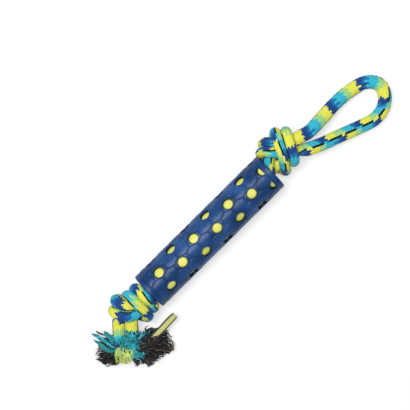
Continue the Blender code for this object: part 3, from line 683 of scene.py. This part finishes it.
def tie_knot(outward, reach, shift, lean, roll, exit_radius, exits):
    """Both strands of one knot, in the toy's frame, and their radii. Outward is 1 for the loop's knot
    and -1 for the tails'. Each exit is a point and the direction in which that strand leaves."""
    mouth = SLEEVE_LENGTH if outward > 0 else 0.0
    centre = np.array([mouth + outward * reach * KNOT_PITCH, shift, AXIS_HEIGHT + KNOT_RISE])
    course, side = knot_course()
    radii = strand_radii(exit_radius)
    offset = radii + FIT_GAP
    tilt = Matrix.Rotation(math.radians(lean), 3, "Z") @ Matrix.Rotation(math.radians(roll), 3, "X")
    tilt = np.array(tilt)
    turn = np.diag([outward, outward, 1.0])
    pull_in = smooth_step(1 - np.arange(KNOT_POINTS) / BLEND_POINTS)[:, None]
    pull_out = pull_in[::-1]
    strands = []
    for sign, (exit_point, exit_direction) in zip((outward, -outward), exits):
        local = course + sign * side * offset[:, None]
        placed = local @ tilt.T @ turn.T + centre
        entry = np.array([mouth - outward * LEAD_IN_BORE, 0, AXIS_HEIGHT + sign * LEG_OFFSET])
        placed += (entry - placed[0]) * pull_in
        placed += (exit_point - placed[-1]) * pull_out
        step = np.linalg.norm(np.diff(placed, axis=0), axis=1).mean()
        for k in (1, 2):
            placed[k] = placed[0] + np.array([outward * step * k, 0, 0])
            placed[-1 - k] = placed[-1] - unit(exit_direction) * step * k
        strands.append(placed)

    def keep_clear(points, sizes):
        """Keeps points off the ground, and outside the sleeve unless they lie in its bore."""
        points[:, 2] = np.maximum(points[:, 2], sizes)
        from_axis = np.hypot(points[:, 1], points[:, 2] - AXIS_HEIGHT)
        beyond = (points[:, 0] - mouth) * outward
        outside = from_axis > BORE_RADIUS - sizes - FIT_GAP
        pushed = np.maximum(beyond, sizes + FIT_GAP)
        points[:, 0] = np.where(outside, mouth + outward * pushed, points[:, 0])

    return settle(strands, radii, keep_clear), radii


# Braided rope


def dye_colour(phase):
    """The space-dyed yarn's colour at a phase of its period."""
    phase = phase % 1.0
    for share, colour in DYE_ORDER:
        if phase < share:
            return colour
        phase -= share
    return YELLOW


def stitch_colour(column, along, draw):
    """A stitch's colour. Two groups of seven columns are dyed alike, half a period apart, and the
    columns between them are dashed black."""
    group_columns = BRAID_COLUMNS // 2
    group = column // group_columns
    dash_step = 0.3
    between_dashes = 0.25
    if column % group_columns == group_columns - 1:
        phase = (along / DASH_PERIOD + dash_step * group) % 1.0
        return CHARCOAL if phase < DASH_SHARE else dye_colour(along / DYE_PERIOD + between_dashes)
    jitter = DYE_SCATTER * (draw[column] - 0.5)
    return dye_colour(along / DYE_PERIOD + 0.5 * group + jitter)


def transport_frames(line, from_end):
    """Sideways and up along a line, without twist, and as near to +Z as can be at one end."""
    ahead = unit(np.gradient(line, axis=0))
    ups = np.zeros_like(line)
    up = np.array((0.0, 0.0, 1.0))
    order = range(len(line))
    for i in reversed(order) if from_end else order:
        up = unit(up - ahead[i] * np.dot(up, ahead[i]))
        ups[i] = up
    return np.cross(ahead, ups), ups


def braid_section(line, radii, along, roll, from_end):
    """The braided surface round a line: points, one row per ring, and each one's column and stitch."""
    slant = 0.35
    deepest = 0.16
    proud = 1.03
    crown_share = 0.65
    least_crown = 0.02
    side, ups = transport_frames(line, from_end)
    around = BRAID_COLUMNS * VERTS_PER_COLUMN
    angle = 2 * math.pi * np.arange(around) / around
    column_place = np.arange(around) / VERTS_PER_COLUMN
    column = np.floor(column_place).astype(int)
    across = column_place - column - 0.5 + 0.5 / VERTS_PER_COLUMN
    stitch_place = along[:, None] / STITCH_PITCH + 0.5 * (column % 2)
    slants = np.where(column % 2 == 0, slant, -slant)
    stitch_place = stitch_place + slants * across
    within = stitch_place - np.floor(stitch_place) - 0.5
    bulge = np.cos(math.pi * across) ** 0.8
    crown = np.sqrt(np.clip(1 - (1.9 * np.abs(within)) ** 3, least_crown, 1))
    sink = deepest * (1 - bulge * (1 - crown_share + crown_share * crown))
    reach = radii[:, None] * (proud - sink)
    cosine = np.cos(angle + roll[:, None])
    sine = np.sin(angle + roll[:, None])
    offset = side[:, None] * cosine[..., None] + ups[:, None] * sine[..., None]
    points = line[:, None] + offset * reach[..., None]
    return points, column, np.floor(stitch_place).astype(int)


def braided_ropes(line, radii, start, rolls, finish, pieces, from_end=False):
    """Braided rope along a line, as pieces that meet end to end, each a name and the length at which
    it ends. Start is the line's place along the whole rope, for the dye."""
    length = run_length(line)
    rings = int(length / STITCH_PITCH * RINGS_PER_STITCH) + 1
    data = even_run(np.column_stack([line, radii]), rings)
    line, radii = data[:, :3], data[:, 3]
    along = start + np.linspace(0, length, rings)
    roll_at = np.interp(np.linspace(0, 1, rings), *zip(*rolls))
    points, column, stitch = braid_section(line, radii, along, np.radians(roll_at), from_end)
    draw = np.random.default_rng(DYE_SEED).random(BRAID_COLUMNS)
    middles = (stitch + 0.5 - 0.5 * (column % 2)) * STITCH_PITCH
    colours = np.array([[stitch_colour(*at, draw) for at in zip(column, row)] for row in middles])
    made = []
    first = 0
    for name, end in pieces:
        last = rings - 1 if end is None else int(round(end / length * (rings - 1)))
        rows = slice(first, last + 1)
        made.append(braid_piece(name, points[rows], colours[rows], along[rows], finish))
        first = last
    return made


def braid_piece(name, points, colours, along, finish):
    """One closed piece of braided surface, with its yarn colours and a map for the fibres."""
    rings, around = points.shape[:2]
    piece = add_piece(name, points, tube_faces(1, rings, around), finish)
    per_corner = np.repeat(colours[:-1].reshape(-1, 3), 4, axis=0)
    ends = np.repeat([colours[0].mean(axis=0), colours[-1].mean(axis=0)], around, axis=0)
    per_corner = np.vstack([per_corner, ends])
    paint_yarn(piece, "CORNER", per_corner)
    uv = np.zeros((len(per_corner), 2))
    wall = uv[: -2 * around].reshape(rings - 1, around, 4, 2)
    turns = np.arange(around)[:, None] + (0, 1, 1, 0)
    wall[:, :, :, 0] = turns / VERTS_PER_COLUMN
    wall[:, :, :2, 1] = along[:-1, None, None] / STITCH_PITCH
    wall[:, :, 2:, 1] = along[1:, None, None] / STITCH_PITCH
    piece.data.uv_layers.new(name="braid").data.foreach_set("uv", uv.ravel())
    piece.data.update()
    return piece


def run_on(strand, radii, line, radius):
    """A knot's strand with the rope that it runs on into, and the radii along both."""
    return np.vstack([strand, line]), np.concatenate([radii, np.full(len(line), radius)])


def bend_ends(hinge_x, bend):
    """The places along x at which the rope's bend round a hinge starts and ends."""
    before, after = bend
    return [(SLEEVE_LENGTH + hinge_x + reach + SHIFT[0], 0, 0) for reach in (-before, after)]


def add_top_rope(finish):
    """The top knot's strands run on into the neck, and the neck into the hand loop."""
    offset = (SLEEVE_LENGTH, 0, 0)
    ends = smooth_route(HANDLE_ROUTE, HANDLE_POINTS) + offset
    exits = ((ends[-1], ends[-2] - ends[-1]), (ends[0], ends[1] - ends[0]))
    strands, radii = tie_knot(**TOP_KNOT, exit_radius=ROPE_RADIUS, exits=exits)
    handle = smooth_route(HANDLE_ROUTE, HANDLE_RINGS) + offset
    split = SLEEVE_LENGTH + NECK_SPLIT_X
    middle = len(handle) // 2
    upper = handle[:middle][handle[:middle, 0] < split]
    lower = handle[middle:][handle[middle:, 0] < split][::-1]
    loop = handle[handle[:, 0] > split - NECK_OVERLAP]
    sway_start, sway_end = bend_ends(SWAY_X, SWAY_BEND)
    for letter, strand, neck, rolls, neck_node in (
        ("a", strands[0], lower, LOWER_ROLLS, "loop_neck_lower"),
        ("b", strands[1], upper, UPPER_ROLLS, "loop_neck_upper"),
    ):
        line, sizes = run_on(strand, radii, neck[1:], ROPE_RADIUS)
        pieces = [(f"top_knot_rope_{letter}", None)]
        if letter == "a":
            start = LOOP_DYE + run_length(loop) - NECK_OVERLAP
            piece = braided_ropes(line[::-1], sizes[::-1], start, rolls, finish, pieces)[0]
        else:
            start = LOOP_DYE + NECK_OVERLAP - run_length(line)
            piece = braided_ropes(line, sizes, start, rolls, finish, pieces, True)[0]
        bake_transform(piece)
        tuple(sway_start)
        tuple(sway_end)
        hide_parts(f"top_knot_strand_{letter}", neck_node)
    sizes = np.full(len(loop), ROPE_RADIUS)
    piece = braided_ropes(loop, sizes, LOOP_DYE, LOOP_ROLLS, finish, [("hand_loop_rope", None)])[0]
    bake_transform(piece)
    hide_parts("handle_loop")
    run_length(loop)
    (even_run(loop, 60) + SHIFT).tolist()


def add_bottom_rope(finish):
    """The bottom knot's strands run on into the tails."""
    exits = []
    for route in TAIL_ROUTES.values():
        ahead = unit(np.subtract(route[1], route[0]))
        exits.append((np.array(route[0]) - ahead * (TAIL_RADIUS + FIT_GAP), ahead))
    strands, radii = tie_knot(**TAIL_KNOT, exit_radius=TAIL_RADIUS, exits=exits)
    for letter, strand, start, rolls in (
        ("a", strands[0], TAIL_A_DYE, TAIL_A_ROLLS),
        ("b", strands[1], TAIL_B_DYE, TAIL_B_ROLLS),
    ):
        tail = smooth_route(TAIL_ROUTES[letter], TAIL_RINGS)
        line, sizes = run_on(strand, radii, tail, TAIL_RADIUS)
        knot = (f"bottom_knot_rope_{letter}", run_length(strand) - TAIL_LEAD)
        end = (f"tail_rope_{letter}", None)
        if letter == "a":
            pieces = [(end[0], run_length(line) - knot[1]), (knot[0], None)]
            made = braided_ropes(line[::-1], sizes[::-1], start, rolls, finish, pieces)[::-1]
        else:
            start -= run_length(line)
            made = braided_ropes(line, sizes, start, rolls, finish, [knot, end], True)
        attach(made[0], "rope")
        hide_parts(f"bottom_knot_strand_{letter}")
        ahead = unit(tail[1] - tail[0])
        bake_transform(made[1])
        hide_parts(f"tail_{letter}_sheath")


# Frayed yarns and core fibres


def add_tubes(name, letter, node, paths, radii, colours, sides, finish):
    """Many thin tubes as one mesh, closed and tapered at both ends, each with its own colour. They
    ride their tail, and take the place of its solid node if there is one."""
    near_up = (0.23, 0.11, 0.97)
    never_zero = 1e-12
    paths = np.asarray(paths, float)
    count, places = paths.shape[:2]
    ahead = np.gradient(paths, axis=1)
    ahead /= np.linalg.norm(ahead, axis=2)[..., None] + never_zero
    across = np.cross(ahead, near_up)
    across /= np.linalg.norm(across, axis=2)[..., None] + never_zero
    rise = np.cross(ahead, across)
    tip_share = 0.35
    next_share = 0.85
    taper = np.ones(places)
    taper[[0, -1]] = tip_share
    taper[[1, -2]] = next_share
    size = np.reshape(radii, (-1, 1)) * taper
    angle = 2 * math.pi * np.arange(sides) / sides
    ring = across[:, :, None] * np.cos(angle)[:, None] + rise[:, :, None] * np.sin(angle)[:, None]
    points = paths[:, :, None] + ring * size[..., None, None]
    points[..., 2] = np.maximum(points[..., 2], FIT_GAP)
    piece = add_piece(name, points, tube_faces(count, places, sides), finish)
    paint_yarn(piece, "POINT", np.repeat(colours, places * sides, axis=0))
    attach(piece, f"tail_{letter}")
    if node:
        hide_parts(node)


def cut_end(letter, across=0.0, up=0.0):
    """A point at a tail's cut end, in radii from its middle, and the directions ahead, level and up."""
    route = TAIL_ROUTES[letter]
    ahead = unit(np.subtract(route[-1], route[-2]))
    level = unit(np.cross((0, 0, 1), ahead))
    rise = np.cross(ahead, level)
    return np.array(route[-1]) + TAIL_RADIUS * (across * level + up * rise), ahead, level, rise


def spread_frames(stations, root, root_ahead, root_size):
    """Smooth stations of a tuft from its root: centres, sizes, and directions across and up."""
    start = [(*(root + root_ahead * reach), *root_size) for reach in (-0.003, 0.0015)]
    data = smooth_route([*start, *stations], TUFT_POINTS)
    ahead = unit(np.gradient(data[:, :3], axis=0))
    across = unit(np.cross((0, 0, 1), ahead))
    return data[:, :3], data[:, 3:], across, np.cross(ahead, across)


def spread_paths(rng, frames, look):
    """Paths of fibres that fill a tuft. They keep together in locks, each with its own lane and its
    own crimp."""
    loose = 0.12
    short_sides = 0.45
    standing = 0.3
    centres, sizes, across, rise = frames
    count, locks, places = look["count"], look["locks"], look["places"]
    length = run_length(centres)
    lock = rng.integers(0, locks, count)

    def loosened(by_lock):
        return by_lock[lock] + rng.normal(0, loose, count)

    lane_turn = loosened(rng.uniform(0, 2 * math.pi, locks))
    lane_reach = np.clip(loosened(np.sqrt(rng.uniform(0, 1, locks))), 0, 1)
    reach = np.clip(loosened(rng.uniform(look["least"], 1.0, locks)), look["least"], 1)
    reach *= 1 - short_sides * np.abs(lane_reach * np.cos(lane_turn)) ** 3
    stands = (rng.random(locks)[lock] < standing) & (np.sin(lane_turn) > 0)
    height = np.where(stands, look["puff"], 1.0)
    place = np.linspace(0, 1, places) * reach[:, None] * (len(centres) - 1)
    low = np.floor(place).astype(int).clip(0, len(centres) - 2)
    share = (place - low)[..., None]

    def at(values):
        return values[low] * (1 - share) + values[low + 1] * share

    wide, high = np.moveaxis(at(sizes), 2, 0)
    lane_a = (lane_reach * np.cos(lane_turn))[:, None] * look["fuller"]
    lane_b = (lane_reach * np.sin(lane_turn) * height)[:, None]
    along = place / (len(centres) - 1)
    grow = smooth_step(np.linspace(0, 4, places))
    wave = []
    for _ in range(3):
        size = rng.uniform(0.4, 1.0, (locks, 1))[lock] * look["crimp"]
        pace = look["wavelength"] * rng.uniform(0.7, 1.4, (locks, 1))[lock]
        phase = rng.random((locks, 1))[lock] + rng.normal(0, loose, (count, 1))
        wave.append(grow * size * np.sin(2 * math.pi * (along * length / pace + phase)))
    sideways = lane_a * wide + wave[0] + look["lean"] * along**2
    paths = at(centres) + at(across) * sideways[..., None]
    paths = paths + at(rise) * (lane_b * high + wave[1])[..., None]
    ahead = np.cross(at(across), at(rise))
    return paths + ahead * (wave[2] + look["onward"] * along**2)[..., None]


def pick_colours(rng, count, choices):
    """A colour for each yarn, from (share, colour) pairs, a little lighter or darker."""
    shares, colours = zip(*choices)
    picked = rng.choice(len(choices), count, p=np.array(shares) / np.sum(shares))
    return np.array(colours)[picked] * rng.uniform(0.75, 1.2, (count, 1))


def add_bundle(name, letter, node, stations, root, root_size, look, choices, finish, seed):
    """One tuft, from its root at the tail's cut end through its stations."""
    middle, ahead, _, _ = cut_end(letter, *root)
    rng = np.random.default_rng(seed)
    paths = spread_paths(rng, spread_frames(stations, middle, ahead, root_size), look)
    radii = rng.uniform(look["thin"], look["thick"], look["count"])
    paths[..., 2] = np.maximum(paths[..., 2], radii[:, None] + FIT_GAP)
    colours = pick_colours(rng, look["count"], choices)
    add_tubes(name, letter, node, paths, radii, colours, look["sides"], finish)


def round_directions(rng, count, level, rise):
    """Directions all round, each a little off its even place, with their turns."""
    turn = 2 * math.pi * (np.arange(count) + rng.uniform(-0.5, 0.5, count)) / count
    return turn, np.cos(turn)[:, None] * level + np.sin(turn)[:, None] * rise


def let_loose(rng, paths, share, swing, lag, waves, sway):
    """Swings each yarn's free end aside and waves it."""
    count = len(paths)
    paths = paths + rng.normal(0, swing, (count, 1, 3)) * share**lag
    wave = np.sin(share * waves + rng.uniform(0, WAVE_PHASES, (count, 1, 1))) * share
    return paths + wave * rng.normal(0, sway, (count, 1, 3))


def add_fringe(name, letter, count, reach, start_back, choices, finish, seed):
    """Sheath yarns that part a little before the cut end and open out all round it."""
    tuck = 0.0008
    belly = 0.0012
    droop = 0.003
    end, ahead, level, rise = cut_end(letter)
    rng = np.random.default_rng(seed)
    _, out = round_directions(rng, count, level, rise)
    length = (rng.uniform(0.55, 1.0, count) * reach)[:, None, None]
    share = np.linspace(0, 1, FRINGE_POINTS)[:, None]
    back = rng.uniform(*start_back, (count, 1, 1))
    start = end + out * (TAIL_RADIUS - tuck)
    flare = belly * np.sin(math.pi * np.minimum(share * 2, 1)) + length * 0.9 * share**1.6
    forward = length * (0.75 * share - 0.35 * share**3) - back
    paths = start[:, None] + out[:, None] * flare + ahead * forward
    paths = let_loose(rng, paths, share, swing=0.0022, lag=2, waves=11, sway=0.0008)
    radii = rng.uniform(0.0006, 0.0011, count)
    lowest = radii[:, None] + FIT_GAP
    paths[..., 2] = np.maximum(paths[..., 2] - droop * share[..., 0] ** 2, lowest)
    colours = pick_colours(rng, count, choices)
    add_tubes(name, letter, None, paths, radii, colours, 6, finish)


def add_open_sheath(name, count, choices, side_choices, finish, seed):
    """Tail b's parted sheath, whose yarns stand up round a dark mouth and fall open on every side,
    with darker ones at its right."""
    first = 0.18
    over_tail = 0.0060
    dark_from = 0.75
    rng = np.random.default_rng(seed)
    wide = np.array(PICTURE_RIGHT) * SHEATH_WIDE
    narrow = np.array(PICTURE_UP) * SHEATH_NARROW
    turn, out = round_directions(rng, count, wide, narrow)
    share = np.linspace(0, 1, SHEATH_POINTS)[:, None]
    reach = rng.uniform(0.55, 1.0, (count, 1, 1))
    rise = rng.uniform(0.0025, 0.0050, (count, 1, 1)) * np.sin(math.pi * np.minimum(share * 0.85, 1))
    fall = rng.uniform(0.0020, 0.0070, (count, 1, 1)) * share**2.2
    spread = first + (reach - first) * share**1.15
    over = over_tail * np.maximum(np.sin(turn), 0)[:, None, None] * np.minimum(share * 2, 1)
    paths = np.array(MOUTH) + out[:, None] * spread + np.array((0.0, 0.0, 1.0)) * (rise - fall + over)
    paths = let_loose(rng, paths, share, swing=0.0016, lag=1.5, waves=10, sway=0.0007)
    radii = rng.uniform(0.0007, 0.0012, count)
    darker = np.cos(turn)[:, None] > dark_from
    colours = np.where(darker, pick_colours(rng, count, side_choices), pick_colours(rng, count, choices))
    add_tubes(name, "b", None, paths, radii, colours, 6, finish)


def add_long_yarn(finish):
    """The stiff yellow yarn: two plump strands with a dark one under each side."""
    root, ahead, _, _ = cut_end("b", 0.66, 0.5)
    centres, sizes, across, up = spread_frames(LONG_YARN, root, ahead, (0.0012, 0.0012))
    strands = (
        (-0.42, 0.15, 0.54, PALE_LEMON),
        (0.36, 0.30, 0.50, PALE_LEMON),
        (0.98, -0.15, 0.46, OLIVE),
        (-1.00, -0.30, 0.36, OLIVE),
    )
    paths = []
    for sideways, upwards, _, _ in strands:
        offset = across * (sizes[:, :1] * sideways) + up * (sizes[:, 1:] * upwards)
        paths.append(even_run(centres + offset, LONG_YARN_POINTS))
    radii = [share * LONG_YARN[1][3] for _, _, share, _ in strands]
    colours = np.array([colour for *_, colour in strands])
    add_tubes("long_yellow_yarn", "b", "tail_b_long_yarn", paths, radii, colours, 10, finish)


def add_frayed_ends():
    fluff = yarn_material("core_fluff", roughness=0.9, sheen=0.04)
    yarn = yarn_material("loose_yarn", roughness=0.65, sheen=0.08)
    dark = ((0.62, FIBRE_BLACK), (0.26, FIBRE_BROWN), (0.12, FIBRE_GREY))
    teal = ((0.45, TEAL), (0.25, SEA), (0.10, TURQUOISE), (0.20, CHARCOAL))
    lime = ((0.45, LIME), (0.25, LEMON), (0.15, LIGHT_GREEN), (0.15, OLIVE))
    blue = ((0.50, SEA), (0.25, TURQUOISE), (0.10, LIGHT_GREEN), (0.15, CHARCOAL))
    open_blue = ((0.46, SEA), (0.12, TURQUOISE), (0.30, TEAL), (0.12, CHARCOAL))
    deep = ((0.45, NAVY), (0.30, SEA), (0.25, CHARCOAL))
    core_size = (0.0050, 0.0030)
    yarn_size = (0.0024, 0.0018)
    add_bundle("core_fluff_a", "a", "tail_a_core_fibres", CORE_A_SPREAD,
               (0.0, -0.4), core_size, FLUFF_A, dark, fluff, 11)
    add_bundle("core_fluff_b", "b", "tail_b_core_fibres", CORE_B_SPREAD,
               (0.0, -0.4), core_size, FLUFF_B, dark, fluff, 12)
    add_bundle("teal_yarns", "a", "tail_a_teal_yarns", TEAL_SPREAD,
               (-0.5, 0.55), yarn_size, TEAL_LOOK, teal, yarn, 13)
    add_bundle("lime_yarns", "a", "tail_a_lime_yarns", LIME_SPREAD,
               (0.42, 0.55), yarn_size, LIME_LOOK, lime, yarn, 14)
    add_bundle("turquoise_yarns", "b", "tail_b_blue_yarns", BLUE_SPREAD,
               (-0.2, 0.55), (0.0028, 0.0018), BLUE_LOOK, blue, yarn, 15)
    add_fringe("fringe_a", "a", 60, 0.0120, (0.001, 0.009), deep, yarn, 16)
    add_fringe("fringe_b", "b", 60, 0.0140, (0.001, 0.008), blue, yarn, 17)
    add_bundle("core_fluff_top", "b", None, CORE_TOP_SPREAD,
               (0.3, 0.9), (0.0030, 0.0016), FLUFF_TOP, dark, fluff, 18)
    add_bundle("core_fluff_low", "b", None, CORE_LOW_SPREAD,
               (-0.2, -0.4), core_size, FLUFF_LOW, dark, fluff, 20)
    add_bundle("navy_yarns", "b", None, NAVY_SPREAD,
               (0.8, 0.3), yarn_size, NAVY_LOOK, deep, yarn, 21)
    add_open_sheath("open_sheath_b", 170, open_blue, deep, yarn, 19)
    add_long_yarn(yarn)


# Sleeve and core


def cell_outline(column, station):
    """A cell's outline as (step round the sleeve, half-row station, nearness to a corner)."""
    middle = 3 * column
    high = min(station + 1, 2 * CELL_ROWS)
    low = max(station - 1, 0)
    steps = (2, 1, -1, -2, -1, 1)
    corners = [(middle + step, y) for step, y in zip(steps, (station, high, high, station, low, low))]
    outline = []
    for (step, height), (next_step, next_height) in zip(corners, corners[1:] + corners[:1]):
        parts = EDGE_PARTS * (2 if abs(next_step - step) == 2 else 1)
        for k in range(parts):
            share = k / parts
            nearness = abs(2 * share - 1) ** 2.2
            turned = step + (next_step - step) * share
            outline.append((turned, height + (next_height - height) * share, nearness))
    return outline


def outline_middle(outline):
    steps, stations, _ = zip(*outline)
    return (min(steps) + max(steps)) / 2, (min(stations) + max(stations)) / 2


def is_hole(column, station):
    """Every third cell along a column is open, and neighbouring columns take turns."""
    return station % 6 == (2 if column % 2 == 0 else 5)


class SleeveSurface:
    """The perforated sleeve, cell by cell, with rounded panels and hole rims."""

    def __init__(self):
        self.points = []
        self.faces = []
        for column in range(CELL_COLUMNS):
            for station in range(column % 2, 2 * CELL_ROWS + 1, 2):
                self.add_cell(column, station)
        self.add_end(0, 0.0, -1)
        self.add_end(2 * CELL_ROWS, SLEEVE_LENGTH, 1)

    def place(self, step, station, radius):
        turn = math.radians(HOLE_TURN) + step * 2 * math.pi / STEPS_ROUND
        x = END_BAND + station * CELL_PITCH / 2
        self.points.append((x, -radius * math.sin(turn), AXIS_HEIGHT + radius * math.cos(turn)))
        return len(self.points) - 1

    def inset(self, outline, share_round, share_along, radius, rounding):
        """The outline drawn in towards its middle, with its corners pulled in as well."""
        middle, height = outline_middle(outline)
        ring = []
        for step, station, corner in outline:
            pull = 1 - rounding * corner
            across = (step - middle) * share_round * pull
            along = (station - height) * share_along * pull
            ring.append(self.place(middle + across, height + along, radius))
        return ring

    def bands(self, rings):
        """Faces between each ring and the next."""
        for first, second in zip(rings, rings[1:]):
            for i in range(len(first)):
                j = (i + 1) % len(first)
                self.faces.append((first[i], first[j], second[j], second[i]))

    def fan(self, outline, ring, radius):
        """Faces from a ring to a point in the cell's middle."""
        middle = self.place(*outline_middle(outline), radius)
        for i in range(len(ring)):
            self.faces.append((ring[i], ring[(i + 1) % len(ring)], middle))

    def add_cell(self, column, station):
        outline = cell_outline(column, station)
        groove = [self.place(a, b, SLEEVE_RADIUS - GROOVE_DEPTH) for a, b, _ in outline]
        bore = [self.place(a, b, BORE_RADIUS) for a, b, _ in outline]
        if is_hole(column, station):
            self.add_hole(outline, groove, bore)
        else:
            self.add_panel(outline, groove, bore, CORNER_PULL if 0 < station < 2 * CELL_ROWS else 0)

    def add_hole(self, outline, groove, bore):
        """A hole's rounded rim and its wall down to the bore."""
        cell_width = 2 * SLEEVE_RADIUS * math.pi / CELL_COLUMNS * 4 / 3
        pull = 1.6 * CORNER_PULL
        insets = []
        for grow, drop in ((1.0, 0.0), (0.45, 0.1), (0.12, 0.45), (0.0, 1.0), (0.0, 2.6)):
            wide = HOLE_WIDTH / cell_width + grow * (2 * HOLE_CHAMFER / cell_width)
            long = HOLE_LENGTH / CELL_PITCH + grow * (2 * HOLE_CHAMFER / CELL_PITCH)
            insets.append((wide, long, SLEEVE_RADIUS - drop * HOLE_CHAMFER, pull))
        insets.append((wide, long, BORE_RADIUS, pull))
        self.bands([groove] + [self.inset(outline, *inset) for inset in insets] + [bore])

    def add_panel(self, outline, groove, bore, pull):
        """A panel that rises from its groove to a slight crown, and the bore under it."""
        near = 1 - 0.5 * GROOVE_WIDTH / CELL_PITCH
        share = 1 - GROOVE_WIDTH / CELL_PITCH
        crown_edge = 0.00015
        crown = 0.0002
        rings = [groove]
        for part, rise, rounding in (
            (near, -0.45 * GROOVE_DEPTH, 0.3),
            (share, -0.06 * GROOVE_DEPTH, 0.7),
            (0.93 * share, 0.0, 1.0),
            (0.5 * share, crown_edge, 1.0),
        ):
            rings.append(self.inset(outline, part, part, SLEEVE_RADIUS + rise, rounding * pull))
        self.bands(rings)
        self.fan(outline, rings[-1], SLEEVE_RADIUS + crown)
        self.fan(outline, bore, BORE_RADIUS)

    def add_end(self, station, edge_x, outward):
        """The plain band past the last cells, rounded over its end face into the bore."""
        turns = [k / EDGE_PARTS for k in range(EDGE_PARTS * STEPS_ROUND)]
        rings = [[self.place(a, station, SLEEVE_RADIUS - GROOVE_DEPTH) for a in turns]]
        profile = [
            (END_BAND - 0.25 * GROOVE_WIDTH, SLEEVE_RADIUS - 0.4 * GROOVE_DEPTH),
            (END_BAND - 0.5 * GROOVE_WIDTH, SLEEVE_RADIUS),
        ]
        for angle in (0, 25, 50, 75, 90):
            inward = END_ROUND * (1 - math.sin(math.radians(angle)))
            profile.append((inward, SLEEVE_RADIUS - END_ROUND * (1 - math.cos(math.radians(angle)))))
        profile += [(0.0, BORE_RADIUS + END_ROUND * 0.5), (END_ROUND * 0.5, BORE_RADIUS)]
        for inward, radius in profile:
            shift = (edge_x - outward * inward - END_BAND) / (CELL_PITCH / 2)
            rings.append([self.place(a, shift, radius) for a in turns])
        rings.append([self.place(a, station, BORE_RADIUS) for a in turns])
        self.bands(rings)


def add_sleeve():
    """The sleeve as one closed surface that faces outwards, with its cells' shared points merged."""
    finish = rubber_material(
        "navy_rubber", SLEEVE_COLOURS, clear_of_groove_shade, roughness=0.37, blotch=38.0
    )
    surface = SleeveSurface()
    sleeve = add_piece("rubber_sleeve", surface.points, surface.faces, finish)
    shape = bmesh.new()
    shape.from_mesh(sleeve.data)
    bmesh.ops.remove_doubles(shape, verts=shape.verts, dist=1e-6)
    bmesh.ops.recalc_face_normals(shape, faces=shape.faces)
    shape.to_mesh(sleeve.data)
    shape.free()
    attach(sleeve, "sleeve")
    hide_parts("outer_sleeve")


def dress_solid(node, finish):
    """Gives a carried-over solid its material."""
    mesh = bpy.data.objects[node].data
    mesh.materials.clear()
    mesh.materials.append(finish)


add_camera()
add_floor()
add_light()
rope_finish = rope_material()
add_top_rope(rope_finish)
add_bottom_rope(rope_finish)
add_frayed_ends()
add_sleeve()
core_finish = rubber_material("lemon_rubber", CORE_COLOURS, under_holes, roughness=0.5, blotch=60.0)
dress_solid("inner_core", core_finish)
dress_solid("rope_leg_upper", rope_finish)
dress_solid("rope_leg_lower", rope_finish)

bpy.context.scene.view_settings.view_transform = "Standard"

boxes = {"cad": CAD_BOX, "scene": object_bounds()}
{k: [[float(x) for x in corner] for corner in v] for k, v in boxes.items()}
